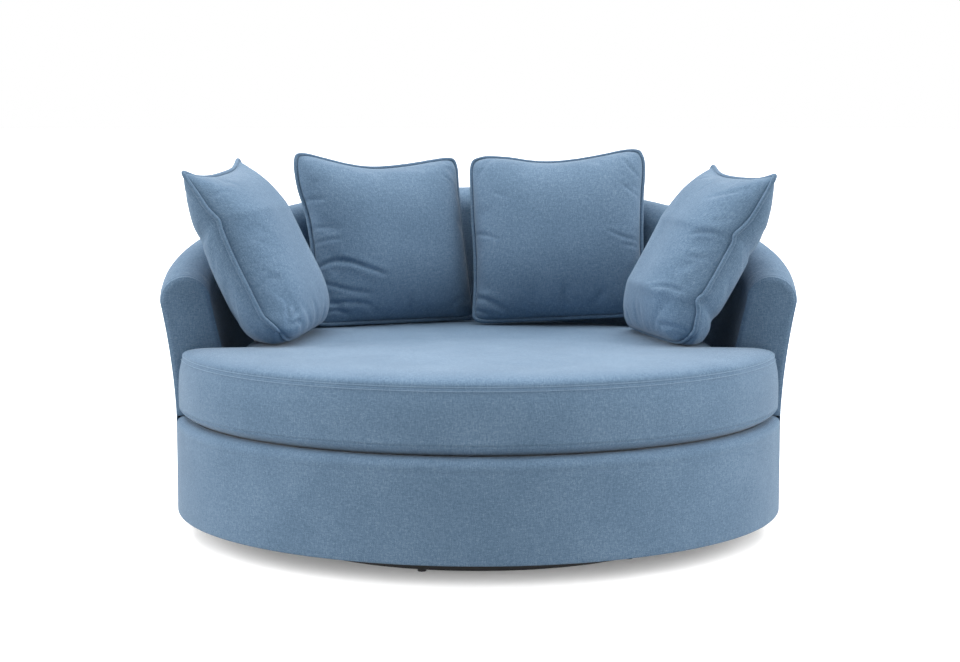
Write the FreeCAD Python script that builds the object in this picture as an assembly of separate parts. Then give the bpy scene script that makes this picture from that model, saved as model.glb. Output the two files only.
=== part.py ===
import FreeCAD, Part
import math
import os

# Round swivel cuddle chair with a loose seat cushion and four loose scatter cushions.
# Millimetres and degrees. The origin is on the floor, on the swivel axis.
# The chair faces -Y, +X is the right side seen from the front, and +Z is up.
# Angles round the chair are counted from its back (+Y), positive towards +X.

V = FreeCAD.Vector

# Drum and deck
BASE_RADIUS = 750.0
FLOOR_GAP = 70.0
BOARD = 18.0
COVER = 4.0
DECK_TOP = 304.8
RING_TOP = 297.0
DRUM_ROLL = 12.0
HEM = 30.0
HEM_THICK = 3.0
FRAME_BOTTOM = FLOOR_GAP + HEM_THICK
FRAME_RADIUS = 741.0
FRAME_SIDES = 24
TOP_RING_BORE = 500.0
BOTTOM_RING_BORE = 600.0
STUD_COUNT = 12

# Wrap-round back and arms
BACK_HEIGHT = 835.0
CREST_DROP = 175.0
CREST_RATE = 0.95
CREST_POWER = 1.2
ARM_ANGLE = 98.5
BACK_TOP_RADIUS = 765.0
ARM_TOP_RADIUS = 786.0
BACK_ROLL = 70.0
ARM_ROLL = 55.0
TUB_RADIUS = 593.0
TUB_OFFSET = -43.0
FLARE_SAG = 0.17
INSIDE_COVER = 5.0
WADDING = 1.8
BACK_FOAM = 35.0
SPANS = 24
SPANS_PER_POST = 3
ARM_SPANS = 6
FACING_DEPTH = 20.0

# Loose seat cushion
SEAT_BOTTOM = 305.3
SEAT_RADIUS = 745.0
SEAT_GAP = 5.0
EAR_GAP = 24.0
EAR_CORNER = 26.0
SEAT_SEAM = 453.5
SEAT_TOP = 481.0

# Loose scatter cushions, corner to corner, all alike
PILLOW_SIZE = 470.0
PILLOW_THICK = 205.0
PILLOW_DRAW = 17.0
PIPING = 4.5

# Swivel
RING_RADIUS = 510.0
RING_WIDTH = 22.0
RING_HEIGHT = 16.0
GLIDE_HEIGHT = 6.0
GLIDE_COUNT = 6
PLATE_SIDE = 300.0
PLATE_THICK = 4.0
ROLLER_PITCH = 90.0
ROLLER_RADIUS = 5.2
ROLLER_LENGTH = 24.0
ROLLER_COUNT = 6
RUNNING_GAP = 0.3


# General shapes

def line(a, b):
    return Part.LineSegment(a, b).toShape()


def arc(a, middle, b):
    return Part.Arc(a, middle, b).toShape()


def closed_wire(points):
    return Part.makePolygon(list(points) + [points[0]])


def prism(points, sweep):
    return Part.Face(closed_wire(points)).extrude(sweep)


def block(x0, x1, y0, y1, z0, z1):
    return Part.makeBox(x1 - x0, y1 - y0, z1 - z0, V(x0, y0, z0))


def disc(radius, z0, height, x=0.0, y=0.0):
    return Part.makeCylinder(radius, height, V(x, y, z0))


def annulus(r_in, r_out, z0, height):
    return disc(r_out, z0, height).cut(disc(r_in, z0, height))


def polygon(sides, radius, z, x=0.0, y=0.0):
    """Wire of a regular polygon with its first corner towards +Y."""
    return closed_wire([V(x, y, z) + polar(360.0 * i / sides, radius, 0.0) for i in range(sides)])


def polygon_prism(sides, radius, z0, height, x=0.0, y=0.0):
    return Part.Face(polygon(sides, radius, z0, x, y)).extrude(V(0, 0, height))


def straight_ring(outer, bore, z0, height):
    """Ring whose rims are cut as many short straight sides."""
    return polygon_prism(FRAME_SIDES, outer, z0, height).cut(polygon_prism(FRAME_SIDES, bore, z0, height))


def polar(angle, radius, z):
    a = math.radians(angle)
    return V(radius * math.sin(a), radius * math.cos(a), z)


def tangent(angle):
    a = math.radians(angle)
    return V(math.cos(a), -math.sin(a), 0.0)


def turned(shape, angle):
    copy = shape.copy()
    copy.rotate(V(0, 0, 0), V(0, 0, 1), angle)
    return copy


def radial_slab(angle, profile, width):
    """A flat plate in the radial plane at an angle, from (radius, z) corners."""
    shift = tangent(angle) * (-width / 2.0)
    corners = [polar(angle, r, z) + shift for r, z in profile]
    return prism(corners, tangent(angle) * width)


# Profile of the wrap-round back and arms

def arm_share(angle):
    """0 at the back and 1 at the arms, turning smoothly from 45 to 90 degrees."""
    t = min(max((abs(angle) - 45.0) / 45.0, 0.0), 1.0)
    return t * t * (3.0 - 2.0 * t)


def crest_height(angle):
    turn = math.radians(CREST_RATE * angle)
    return BACK_HEIGHT - CREST_DROP * (1.0 - math.cos(turn)) ** CREST_POWER


def roll_radius(angle):
    share = (1.0 + math.cos(math.radians(angle))) / 2.0
    return ARM_ROLL + (BACK_ROLL - ARM_ROLL) * share


def top_radius(angle):
    return BACK_TOP_RADIUS + (ARM_TOP_RADIUS - BACK_TOP_RADIUS) * arm_share(angle)


def tub_radius(angle):
    """Radius from the swivel axis to the inside face at the deck."""
    a = math.radians(angle)
    across = TUB_OFFSET * math.sin(a)
    return TUB_OFFSET * math.cos(a) + math.sqrt(TUB_RADIUS ** 2 - across ** 2)


def roll_centre(angle):
    roll = roll_radius(angle)
    return top_radius(angle) - roll, crest_height(angle) - roll


def flare_middle(angle, inset):
    top, z_top = top_radius(angle), roll_centre(angle)[1]
    sag = FLARE_SAG * (top - BASE_RADIUS)
    return (BASE_RADIUS + top) / 2.0 - sag - inset, (RING_TOP + z_top) / 2.0


def roll_point(angle, inset, turn):
    """A point on the roll's arc; turn is 0 outside, 90 on the crest and 180 inside."""
    r, z = roll_centre(angle)
    reach = roll_radius(angle) - inset
    a = math.radians(turn)
    return r + reach * math.cos(a), z + reach * math.sin(a)


def span_angle(i):
    return -ARM_ANGLE + 2.0 * ARM_ANGLE * i / SPANS


def strip_faces(near, far):
    """Faces from a run to the next one towards an arm: two flat triangles, or a ruled patch on arcs."""
    if len(near) == 2:
        return [Part.Face(closed_wire([near[0], near[1], far[1]])),
                Part.Face(closed_wire([near[0], far[1], far[0]]))]
    return [Part.makeRuledSurface(arc(*near), arc(*far))]


def cap_face(runs):
    edges = [line(*run) if len(run) == 2 else arc(*run) for run in runs]
    return Part.Face(Part.Wire(edges))


def shell_loft(section, first=0, last=SPANS):
    """Loft a section, given as runs of (radius, z) points, round the chair from span to span."""
    rings = []
    for i in range(first, last + 1):
        angle = span_angle(i)
        rings.append([[polar(angle, r, z) for r, z in run] for run in section(angle)])
    faces = [cap_face(rings[0]), cap_face(rings[-1])]
    for i in range(last - first):
        nearer_back = rings[i:i + 2] if first + i >= SPANS / 2 else rings[i:i + 2][::-1]
        for near, far in zip(*nearer_back):
            faces += strip_faces(near, far)
    shell = Part.makeShell(faces)
    shell.sewShape()
    solid = Part.makeSolid(shell)
    return solid if solid.Volume > 0 else solid.reversed()


def loop_section(outline):
    """Turn a closed outline of (radius, z) corners into a section of straight runs."""
    def section(angle):
        corners = outline(angle)
        return list(zip(corners, corners[1:] + corners[:1]))
    return section


def outside_section(angle):
    top, z_top = top_radius(angle), roll_centre(angle)[1] - 0.3
    lip = (top, z_top)
    inner_lip = (top - COVER, z_top)
    knee = (BASE_RADIUS, RING_TOP)
    inner_knee = (BASE_RADIUS - COVER, RING_TOP)
    hem = (BASE_RADIUS, FLOOR_GAP)
    turn_in = (BASE_RADIUS - HEM, FLOOR_GAP)
    turn_top = (BASE_RADIUS - HEM, FLOOR_GAP + HEM_THICK)
    inner_hem = (BASE_RADIUS - COVER, FLOOR_GAP + HEM_THICK)
    return [(hem, knee),
            (knee, flare_middle(angle, 0.0), lip),
            (lip, inner_lip),
            (inner_lip, flare_middle(angle, COVER), inner_knee),
            (inner_knee, inner_hem),
            (inner_hem, turn_top),
            (turn_top, turn_in),
            (turn_in, hem)]


def padding_line(angle, inset):
    """Bevelled outline of the foam under the roll, from the tub's foot to the outside."""
    foot = (tub_radius(angle) + inset, RING_TOP)
    return [foot] + [roll_point(angle, inset, turn) for turn in (180.0, 120.0, 60.0, 0.0)]


def inside_section(angle):
    foot = (tub_radius(angle), RING_TOP)
    shoulder = roll_point(angle, 0.0, 180.0)
    crest = roll_point(angle, 0.0, 90.0)
    lip = roll_point(angle, 0.0, 0.0)
    under = padding_line(angle, INSIDE_COVER)
    runs = [(foot, shoulder),
            (shoulder, roll_point(angle, 0.0, 135.0), crest),
            (crest, roll_point(angle, 0.0, 45.0), lip),
            (lip, under[-1])]
    back = under[::-1]
    runs += [(a, b) for a, b in zip(back, back[1:])]
    return runs + [(under[0], foot)]


def rail_box(angle):
    """Inner radius, outer radius, bottom and top of the top rail."""
    r, z = roll_centre(angle)
    return r - 20.0, r + 25.0, z - 42.0, z - 4.0


def rail_outline(angle):
    r0, r1, z0, z1 = rail_box(angle)
    return [(r0, z0), (r1, z0), (r1, z1), (r0, z1)]


def foam_back(angle):
    """Foot and head of the line where foam, webbing and posts meet."""
    rail_in, _, rail_bottom, _ = rail_box(angle)
    foot = (tub_radius(angle) + INSIDE_COVER + BACK_FOAM, RING_TOP)
    return foot, (rail_in, rail_bottom - BOARD)


def foam_outline(angle):
    front = padding_line(angle, INSIDE_COVER + WADDING)
    rail_in, rail_out, _, rail_top = rail_box(angle)
    foot, head = foam_back(angle)
    return front + [(rail_out, rail_top), (rail_in, rail_top), head, foot]


def arm_points(angle, inset, forward):
    """Places round an arm's front end, pushed forward off the end of the arm."""
    push = tangent(angle) * math.copysign(forward, angle)
    low = DECK_TOP + inset
    spots = [(tub_radius(angle) + inset, low)]
    spots += [roll_point(angle, inset, turn) for turn in (180.0, 135.0, 90.0, 45.0, 0.0)]
    spots += [flare_middle(angle, inset), (BASE_RADIUS - inset, low)]
    return [polar(angle, r, z) + push for r, z in spots]


def arm_outline(angle, inset, forward):
    foot, shoulder, inner, crest, outer, lip, flare, heel = arm_points(angle, inset, forward)
    return Part.Wire([line(foot, shoulder), arc(shoulder, inner, crest), arc(crest, outer, lip),
                      arc(lip, flare, heel), line(heel, foot)])


# Frame of the back and arms

POST_ANGLES = [span_angle(i) for i in range(SPANS_PER_POST, SPANS, SPANS_PER_POST)]


def back_posts(rail):
    """Upright boards, their heads cut to the slope of the rail that they carry."""
    posts = []
    for angle in POST_ANGLES:
        (foot_r, foot_z), (head_r, head_z) = foam_back(angle)
        rail_in, rail_out, rail_bottom, _ = rail_box(angle)
        top = rail_bottom + 5.0
        heel = (BASE_RADIUS - 14.0, RING_TOP)
        profile = [(foot_r + WADDING, foot_z), (head_r + WADDING, head_z), (rail_in + WADDING, top),
                   (rail_out - WADDING, top), heel]
        posts.append(radial_slab(angle, profile, BOARD).cut(rail))
    return Part.makeCompound(posts)


def post_blocks():
    """Triangular glue blocks that brace each post on the deck ring."""
    leg = 45.0
    blocks = []
    for angle in POST_ANGLES:
        side = tangent(angle)
        base = polar(angle, 680.0, RING_TOP) + side * (BOARD / 2.0)
        corners = [base, base + side * leg, base + V(0, 0, leg)]
        blocks.append(prism(corners, polar(angle, leg, 0.0)))
    return Part.makeCompound(blocks)


def back_webbing():
    """Upright elastic straps between the posts, behind the foam."""
    width, thick, behind = 40.0, 2.0, 3.5
    straps = []
    for left, right in zip(POST_ANGLES, POST_ANGLES[1:]):
        for share in (0.32, 0.68):
            angle = left + (right - left) * share
            foot, head = [(r + behind, z) for r, z in foam_back(angle)]
            profile = [foot, head, (head[0] + thick, head[1]), (foot[0] + thick, foot[1])]
            straps.append(radial_slab(angle, profile, width))
    return Part.makeCompound(straps)


def arm_board(angle):
    """Straight-sided board that closes the front end of an arm."""
    push = tangent(angle) * math.copysign(FACING_DEPTH / 2.0, angle)
    return prism(arm_points(angle, 2.0 * INSIDE_COVER, 0.0), push)


def arm_facing(angle):
    """Padded facing over the arm's front board, crowned towards the front."""
    wires = [arm_outline(angle, 0.0, 0.0),
             arm_outline(angle, 0.0, FACING_DEPTH - 8.0),
             arm_outline(angle, 10.0, FACING_DEPTH)]
    return Part.makeLoft(wires, True, True).cut(arm_board(angle))


# Drum under the seat

def base_studs():
    depth, width = 45.0, 40.0
    low = FRAME_BOTTOM + BOARD
    high = RING_TOP - BOARD
    r1 = FRAME_RADIUS * math.cos(math.pi / FRAME_SIDES) - 3.0
    studs = []
    for i in range(STUD_COUNT):
        angle = 360.0 * (i + 0.5) / STUD_COUNT
        profile = [(r1 - depth, low), (r1, low), (r1, high), (r1 - depth, high)]
        studs.append(radial_slab(angle, profile, width))
    return Part.makeCompound(studs)


def base_front_cover():
    """Border cloth round the open front of the drum, folded over its top and bottom edges."""
    r = BASE_RADIUS
    inner, lap, nip = r - COVER, r - 35.0, 3.5
    profile = [(r, FLOOR_GAP + nip), (r, DECK_TOP - DRUM_ROLL), (r - nip, DECK_TOP - nip),
               (r - DRUM_ROLL, DECK_TOP), (lap, DECK_TOP), (lap, DECK_TOP - HEM_THICK),
               (inner, RING_TOP), (inner, FRAME_BOTTOM), (r - HEM, FRAME_BOTTOM),
               (r - HEM, FLOOR_GAP), (r - nip, FLOOR_GAP)]
    face = Part.Face(closed_wire([polar(ARM_ANGLE, radius, z) for radius, z in profile]))
    return face.revolve(V(0, 0, 0), V(0, 0, 1), -(360.0 - 2.0 * ARM_ANGLE))


def seat_webbing(along_x):
    """Straps stapled across the deck ring, in two crossing layers."""
    pitch, width, thick = 115.0, 60.0, 2.0
    reach = TOP_RING_BORE + 35.0
    z0 = RING_TOP if along_x else RING_TOP + thick
    straps = []
    for i in range(-3, 4):
        offset = pitch * i
        half = math.sqrt(reach ** 2 - (abs(offset) + width / 2.0) ** 2)
        lo, hi = offset - width / 2.0, offset + width / 2.0
        if along_x:
            straps.append(block(-half, half, lo, hi, z0, z0 + thick))
        else:
            straps.append(block(lo, hi, -half, half, z0, z0 + thick))
    return Part.makeCompound(straps)


def cross_rails(screws):
    low = FRAME_BOTTOM + BOARD
    height, width, offset, reach = 36.0, 60.0, 110.0, 670.0
    rails = [block(side * offset - width / 2.0, side * offset + width / 2.0,
                   -reach, reach, low, low + height) for side in (-1, 1)]
    return Part.makeCompound([rail.cut(screws) for rail in rails])


def dust_cover():
    thick = HEM_THICK / 2.0
    return straight_ring(BASE_RADIUS - HEM - 4.0, PLATE_SIDE * 0.8, FRAME_BOTTOM - thick, thick)


# Seat cushion

def crossing(angle, forward, centre_y, radius):
    """Where the line ahead of an arm's end meets a circle about (0, centre_y)."""
    out = polar(angle, 1.0, 0.0)
    ahead = tangent(angle)
    centre = V(0.0, centre_y, 0.0)
    along = out.dot(centre)
    rest = forward ** 2 - 2.0 * forward * ahead.dot(centre) + centre_y ** 2 - radius ** 2
    return out * (along + math.sqrt(along ** 2 - rest)) + ahead * forward


def seat_wire(z, inset):
    """Plan outline of the seat: round front, ears ahead of the arms, round back."""
    front = SEAT_RADIUS - inset
    back = TUB_RADIUS - SEAT_GAP - inset
    gap = EAR_GAP + inset
    notch = crossing(ARM_ANGLE, gap, TUB_OFFSET, back)
    tip = crossing(ARM_ANGLE, gap, 0.0, front)
    out = polar(ARM_ANGLE, 1.0, 0.0)
    ear_end = tip - out * EAR_CORNER
    turn = math.degrees(EAR_CORNER / front)
    tip_angle = math.degrees(math.atan2(tip.x, tip.y)) + turn
    round_end = polar(tip_angle, front, 0.0)
    bulge = (ear_end + round_end) * 0.5
    corner_mid = bulge + (tip - bulge) * 0.42
    nose = V(0.0, -front, 0.0)
    cheek_angle = (tip_angle + 180.0) / 2.0
    cheek = polar(cheek_angle, front, 0.0)
    rear = V(0.0, TUB_OFFSET + back, 0.0)
    hub = V(0.0, TUB_OFFSET, 0.0)
    flank = hub + ((notch - hub) + (rear - hub)).normalize() * back

    def flip(p):
        return V(-p.x, p.y, p.z)

    edges = [arc(nose, cheek, round_end),
             arc(round_end, corner_mid, ear_end),
             line(ear_end, notch),
             arc(notch, flank, rear),
             arc(rear, flip(flank), flip(notch)),
             line(flip(notch), flip(ear_end)),
             arc(flip(ear_end), flip(corner_mid), flip(round_end)),
             arc(flip(round_end), flip(cheek), nose)]
    wire = Part.Wire(edges)
    wire.translate(V(0, 0, z))
    return wire


def seat_slab(inset, z0, z1):
    """Slab of the seat's plan, cut with straight sides."""
    points = []
    for edge in seat_wire(z0, inset).OrderedEdges:
        count = max(1, round(edge.Length / 260.0))
        points += edge.discretize(count + 1)[:-1]
    return prism(points, V(0, 0, z1 - z0))


def seat_core():
    return seat_slab(22.0, SEAT_BOTTOM + 10.0, SEAT_SEAM)


def seat_form():
    """Crowned seat: rolled lower edge, upright border, shoulder and crown."""
    levels = [(SEAT_BOTTOM, 9.0), (SEAT_BOTTOM + 9.0, 0.0), (SEAT_SEAM, 0.0),
              (SEAT_SEAM + 15.0, 8.0), (SEAT_SEAM + 22.0, 30.0), (SEAT_TOP, 90.0)]
    return Part.makeLoft([seat_wire(z, inset) for z, inset in levels], True, True)


def seat_zip():
    """Zip tape along the back of the seat's border."""
    half_angle, width, thick = 16.0, 14.0, 1.5
    inner = TUB_RADIUS - SEAT_GAP
    low = SEAT_SEAM - 60.0
    start = math.radians(half_angle)

    def at(radius, z):
        return V(radius * math.sin(start), TUB_OFFSET + radius * math.cos(start), z)

    face = Part.Face(closed_wire([at(inner, low), at(inner + thick, low),
                                  at(inner + thick, low + width), at(inner, low + width)]))
    return face.revolve(V(0, TUB_OFFSET, 0), V(0, 0, 1), 2.0 * half_angle)


# Scatter cushions

def pillow_outline(offset, level):
    """Square with drawn-in sides in the cushion's own plane, pushed out by an offset."""
    corner = PILLOW_SIZE / 2.0 + offset
    middle = corner - PILLOW_DRAW
    corners = [V(-corner, level, -corner), V(corner, level, -corner),
               V(corner, level, corner), V(-corner, level, corner)]
    middles = [V(0, level, -middle), V(middle, level, 0), V(0, level, middle), V(-middle, level, 0)]
    edges = [arc(corners[i], middles[i], corners[(i + 1) % 4]) for i in range(4)]
    return Part.Wire(edges)


def pillow_band(offset, height):
    return Part.Face(pillow_outline(offset, -height / 2.0)).extrude(V(0, height, 0))


def crowned_run(along_x, thick):
    """Long lens-shaped bar, crowned by one arc on the front and one on the back."""
    half, rise = PILLOW_SIZE / 2.0, thick / 2.0
    across = V(0, 0, 1) if along_x else V(1, 0, 0)
    run = V(1, 0, 0) if along_x else V(0, 0, 1)
    start = run * -half
    a, b = start - across * half, start + across * half
    lens = Part.Wire([arc(a, start - V(0, rise, 0), b), arc(b, start + V(0, rise, 0), a)])
    return Part.Face(lens).extrude(run * PILLOW_SIZE)


def pillow_form(thick):
    """Cushion crowned both ways, with its sides drawn in between pointed corners."""
    crown = crowned_run(True, thick).common(crowned_run(False, thick))
    return crown.common(pillow_band(0.0, thick))


def pillow_fill_form():
    """Filling of the cushion, thick in the middle and bevelled towards the seams."""
    rim, flat, deep = PILLOW_SIZE * 0.36, PILLOW_SIZE * 0.19, PILLOW_THICK * 0.32
    front = Part.makeWedge(-rim, 0.0, -rim, -flat, -flat, rim, deep, rim, flat, flat)
    return front.fuse(front.mirror(V(0, 0, 0), V(0, 1, 0))).removeSplitter()


def pillow_piping_form():
    return pillow_band(PIPING, 2.0 * PIPING).cut(pillow_band(0.0, 2.0 * PIPING))


def pillow_zip_form(cover):
    """Zip tape laid on the back panel just above the bottom seam."""
    low = -PILLOW_SIZE / 2.0 + PILLOW_DRAW
    band = block(-150.0, 150.0, 0.0, 40.0, low + 12.0, low + 26.0)
    return pillow_form(PILLOW_THICK + 3.0).common(band).cut(cover)


PILLOWS = {
    "left": (V(-557.0, 25.0, 700.9), 80.4, -28.3, -1.7),
    "back_left": (V(-249.0, 426.0, 709.3), 24.4, -20.0, 0.2),
    "back_right": (V(216.0, 418.0, 714.0), -5.2, -24.1, -3.1),
    "right": (V(557.0, 32.0, 692.9), -77.0, -29.4, 0.0),
}


def pillow_placement(name):
    """Lean back about X, roll in its own plane about Y, and turn about Z."""
    place, turn, lean, roll = PILLOWS[name]
    spin = (FreeCAD.Rotation(V(0, 0, 1), turn)
            .multiply(FreeCAD.Rotation(V(1, 0, 0), lean))
            .multiply(FreeCAD.Rotation(V(0, 1, 0), roll)))
    return FreeCAD.Placement(place, spin)


def placed(shape, name):
    copy = shape.copy()
    copy.transformShape(pillow_placement(name).toMatrix())
    return copy


# Swivel

RING_TOP_Z = GLIDE_HEIGHT + RING_HEIGHT
TOP_PLATE_Z = FRAME_BOTTOM + BOARD - PLATE_THICK
ROLLER_Z = TOP_PLATE_Z - RUNNING_GAP - ROLLER_RADIUS
LOWER_PLATE_Z = ROLLER_Z - ROLLER_RADIUS - RUNNING_GAP - PLATE_THICK
BOLT_OFFSET = 125.0
BOLT_RADIUS = 4.0
PIN_RADIUS = 12.0
PIN_GAP = 0.05


def base_ring():
    return annulus(RING_RADIUS - RING_WIDTH, RING_RADIUS, GLIDE_HEIGHT, RING_HEIGHT)


def base_glides():
    centre = RING_RADIUS - RING_WIDTH / 2.0
    glides = []
    for i in range(GLIDE_COUNT):
        spot = polar(360.0 * (i + 0.25) / GLIDE_COUNT, centre, 0.0)
        glides.append(polygon_prism(8, 10.0, 0.0, GLIDE_HEIGHT, spot.x, spot.y))
    return Part.makeCompound(glides)


def base_arm():
    """Flat bar on edge of the ring, cranked up to the plate."""
    thick, width = 8.0, 40.0
    low, high = RING_TOP_Z, LOWER_PLATE_Z - thick
    inner, outer = 30.0, RING_RADIUS - 3.0
    rise, fall = 190.0, 330.0
    profile = [(inner, high), (rise, high), (fall, low), (outer, low),
               (outer, low + thick), (fall + 6.0, low + thick),
               (rise + 6.0, high + thick), (inner, high + thick)]
    return radial_slab(0.0, profile, width)


def square_plate(z0):
    """Square plate with clipped corners."""
    half, nip = PLATE_SIDE / 2.0, 20.0
    corners = []
    for sx, sy in ((-1, -1), (1, -1), (1, 1), (-1, 1)):
        pair = [V(sx * half, sy * (half - nip), z0), V(sx * (half - nip), sy * half, z0)]
        corners += pair if sx * sy > 0 else pair[::-1]
    return prism(corners, V(0, 0, PLATE_THICK))


def lower_plate():
    return square_plate(LOWER_PLATE_Z).cut(disc(PIN_RADIUS + PIN_GAP, LOWER_PLATE_Z, PLATE_THICK))


def top_plate_screws():
    """Hexagon coach screws from under the top plate up into the cross rails."""
    screws = []
    for sx in (-1, 1):
        for sy in (-1, 1):
            x, y = sx * BOLT_OFFSET, sy * BOLT_OFFSET
            shank = polygon_prism(8, BOLT_RADIUS, TOP_PLATE_Z, 34.0, x, y)
            head = polygon_prism(6, 7.5, TOP_PLATE_Z - 5.0, 5.0, x, y)
            screws.append(head.fuse(shank))
    return Part.makeCompound(screws)


def bearing_rollers():
    inner = ROLLER_PITCH - ROLLER_LENGTH / 2.0
    rollers = []
    for i in range(ROLLER_COUNT):
        angle = 360.0 * i / ROLLER_COUNT
        start = polar(angle, inner, ROLLER_Z)
        rollers.append(Part.makeCylinder(ROLLER_RADIUS, ROLLER_LENGTH, start, polar(angle, 1.0, 0.0)))
    return Part.makeCompound(rollers)


def roller_cage():
    """Flat ring that keeps the rollers apart, one window for each."""
    height, margin = 4.0, 18.0
    z0 = ROLLER_Z - height / 2.0
    cage = straight_ring(ROLLER_PITCH + margin, ROLLER_PITCH - margin, z0, height)
    slot = ROLLER_RADIUS + RUNNING_GAP
    reach = ROLLER_LENGTH / 2.0 + RUNNING_GAP
    for i in range(ROLLER_COUNT):
        window = block(-slot, slot, ROLLER_PITCH - reach, ROLLER_PITCH + reach, z0, z0 + height)
        cage = cage.cut(turned(window, 360.0 * i / ROLLER_COUNT))
    return cage


def top_plate(screws):
    """Plate with the pin on which the chair turns."""
    low = LOWER_PLATE_Z - 1.0
    pin = disc(PIN_RADIUS, low, TOP_PLATE_Z - low)
    return square_plate(TOP_PLATE_Z).fuse(pin).cut(screws)


def pivot_nut():
    """Nut on the pin's end, wider than the lower plate's bore, that keeps the plates together."""
    return polygon_prism(6, 24.0, LOWER_PLATE_Z - 9.0, 8.0)


def build():
    screws = top_plate_screws()
    rail = shell_loft(loop_section(rail_outline))
    arm = base_arm()
    parts = {
        "base_glides": base_glides(),
        "base_ring": base_ring(),
        "base_arms": Part.makeCompound([turned(arm, 90.0 * i) for i in range(4)]),
        "lower_plate": lower_plate(),
        "bearing_rollers": bearing_rollers(),
        "roller_cage": roller_cage(),
        "top_plate": top_plate(screws),
        "top_plate_screws": screws,
        "pivot_nut": pivot_nut(),
        "cross_rails": cross_rails(screws),
        "base_bottom_ring": straight_ring(FRAME_RADIUS, BOTTOM_RING_BORE, FRAME_BOTTOM, BOARD),
        "base_top_ring": straight_ring(FRAME_RADIUS, TOP_RING_BORE, RING_TOP - BOARD, BOARD),
        "base_studs": base_studs(),
        "base_skirt_panel": straight_ring(FRAME_RADIUS + 2.5, FRAME_RADIUS, FRAME_BOTTOM,
                                      RING_TOP - FLOOR_GAP - 10.0),
        "base_front_cover": base_front_cover(),
        "dust_cover": dust_cover(),
        "seat_webbing_across": seat_webbing(True),
        "seat_webbing_along": seat_webbing(False),
        "deck_pad": seat_slab(38.0, RING_TOP + 4.0, DECK_TOP),
        "back_posts": back_posts(rail),
        "post_blocks": post_blocks(),
        "back_top_rail": rail,
        "back_webbing": back_webbing(),
        "back_foam": shell_loft(loop_section(foam_outline)),
        "inside_arm_left_cover": shell_loft(inside_section, 0, ARM_SPANS),
        "inside_back_cover": shell_loft(inside_section, ARM_SPANS, SPANS - ARM_SPANS),
        "inside_arm_right_cover": shell_loft(inside_section, SPANS - ARM_SPANS, SPANS),
        "outside_back_cover": shell_loft(outside_section),
        "arm_boards": Part.makeCompound([arm_board(-ARM_ANGLE), arm_board(ARM_ANGLE)]),
        "arm_facing_left": arm_facing(-ARM_ANGLE),
        "arm_facing_right": arm_facing(ARM_ANGLE),
        "seat_cushion_cover": seat_form().cut(seat_core()),
        "seat_cushion_foam": seat_core(),
        "seat_cushion_zip": seat_zip(),
    }
    form, fill = pillow_form(PILLOW_THICK), pillow_fill_form()
    piping, zip_tape = pillow_piping_form(), pillow_zip_form(form)
    cover = form.cut(fill)
    for name in PILLOWS:
        parts["pillow_%s_cover" % name] = placed(cover, name)
        parts["pillow_%s_fill" % name] = placed(fill, name)
        parts["pillow_%s_piping" % name] = placed(piping, name)
        parts["pillow_%s_zip" % name] = placed(zip_tape, name)
    return parts


def main():
    os.makedirs("parts", exist_ok=True)
    for name, shape in build().items():
        shape.exportStep("parts/%s.step" % name)


main()
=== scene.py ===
import math

import bmesh
import bpy
import numpy as np
from mathutils import Matrix, Vector
from mathutils.bvhtree import BVHTree


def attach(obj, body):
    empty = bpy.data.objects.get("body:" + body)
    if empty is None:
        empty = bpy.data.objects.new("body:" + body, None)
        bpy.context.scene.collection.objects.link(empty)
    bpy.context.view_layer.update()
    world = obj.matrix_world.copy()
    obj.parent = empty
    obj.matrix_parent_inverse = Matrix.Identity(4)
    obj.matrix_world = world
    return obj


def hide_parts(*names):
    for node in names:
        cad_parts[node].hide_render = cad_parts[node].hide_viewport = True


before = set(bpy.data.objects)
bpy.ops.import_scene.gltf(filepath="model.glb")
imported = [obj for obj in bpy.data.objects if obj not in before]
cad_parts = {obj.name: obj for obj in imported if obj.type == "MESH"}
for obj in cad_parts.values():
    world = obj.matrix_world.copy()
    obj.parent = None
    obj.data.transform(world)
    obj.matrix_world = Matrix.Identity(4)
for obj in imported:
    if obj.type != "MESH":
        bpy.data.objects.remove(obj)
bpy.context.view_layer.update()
scene = bpy.context.scene

# Metres. The chair faces -Y, and angles round it are counted from its back (+Y), positive towards +X.

# Sizes of the part

BASE_RADIUS, FLOOR_GAP, COVER = 0.750, 0.070, 0.004
DECK_TOP, RING_TOP = 0.3048, 0.297
HEM, HEM_THICK, HEM_NIP = 0.030, 0.003, 0.0035
ARM_ANGLE, PANEL_ANGLE = 98.5, 62.0
TUB_RADIUS, TUB_OFFSET = 0.593, -0.043
INSIDE_COVER, BACK_FOAM = 0.005, 0.035
SEAT_BOTTOM, SEAT_RADIUS, SEAT_GAP = 0.3053, 0.745, 0.005
EAR_GAP, EAR_CORNER = 0.024, 0.026
LOW_SEAM, SEAT_SEAM, SEAT_TOP = 0.3303, 0.4535, 0.481
PILLOW_HALF, PIPING, PIPING_OUT = 0.235, 0.0054, 0.0045
UP = np.array([0.0, 0.0, 1.0])
NO_LIMIT = 9.0


# Numbers and meshes

def ease(t):
    t = np.clip(t, 0.0, 1.0)
    return t * t * (3.0 - 2.0 * t)


def field(u, v, size, seed):
    """Smooth random field from -1 to 1, with features about size wide."""
    lattice = np.random.RandomState(seed).uniform(-1.0, 1.0, (64, 64))
    x, y = np.asarray(u) / size, np.asarray(v) / size
    i, j = np.floor(x).astype(int), np.floor(y).astype(int)
    fx, fy = ease(x - i), ease(y - j)

    def at(a, b):
        return lattice[a % 64, b % 64]

    low = at(i, j) * (1 - fx) + at(i + 1, j) * fx
    high = at(i, j + 1) * (1 - fx) + at(i + 1, j + 1) * fx
    return low * (1 - fy) + high * fy


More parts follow.
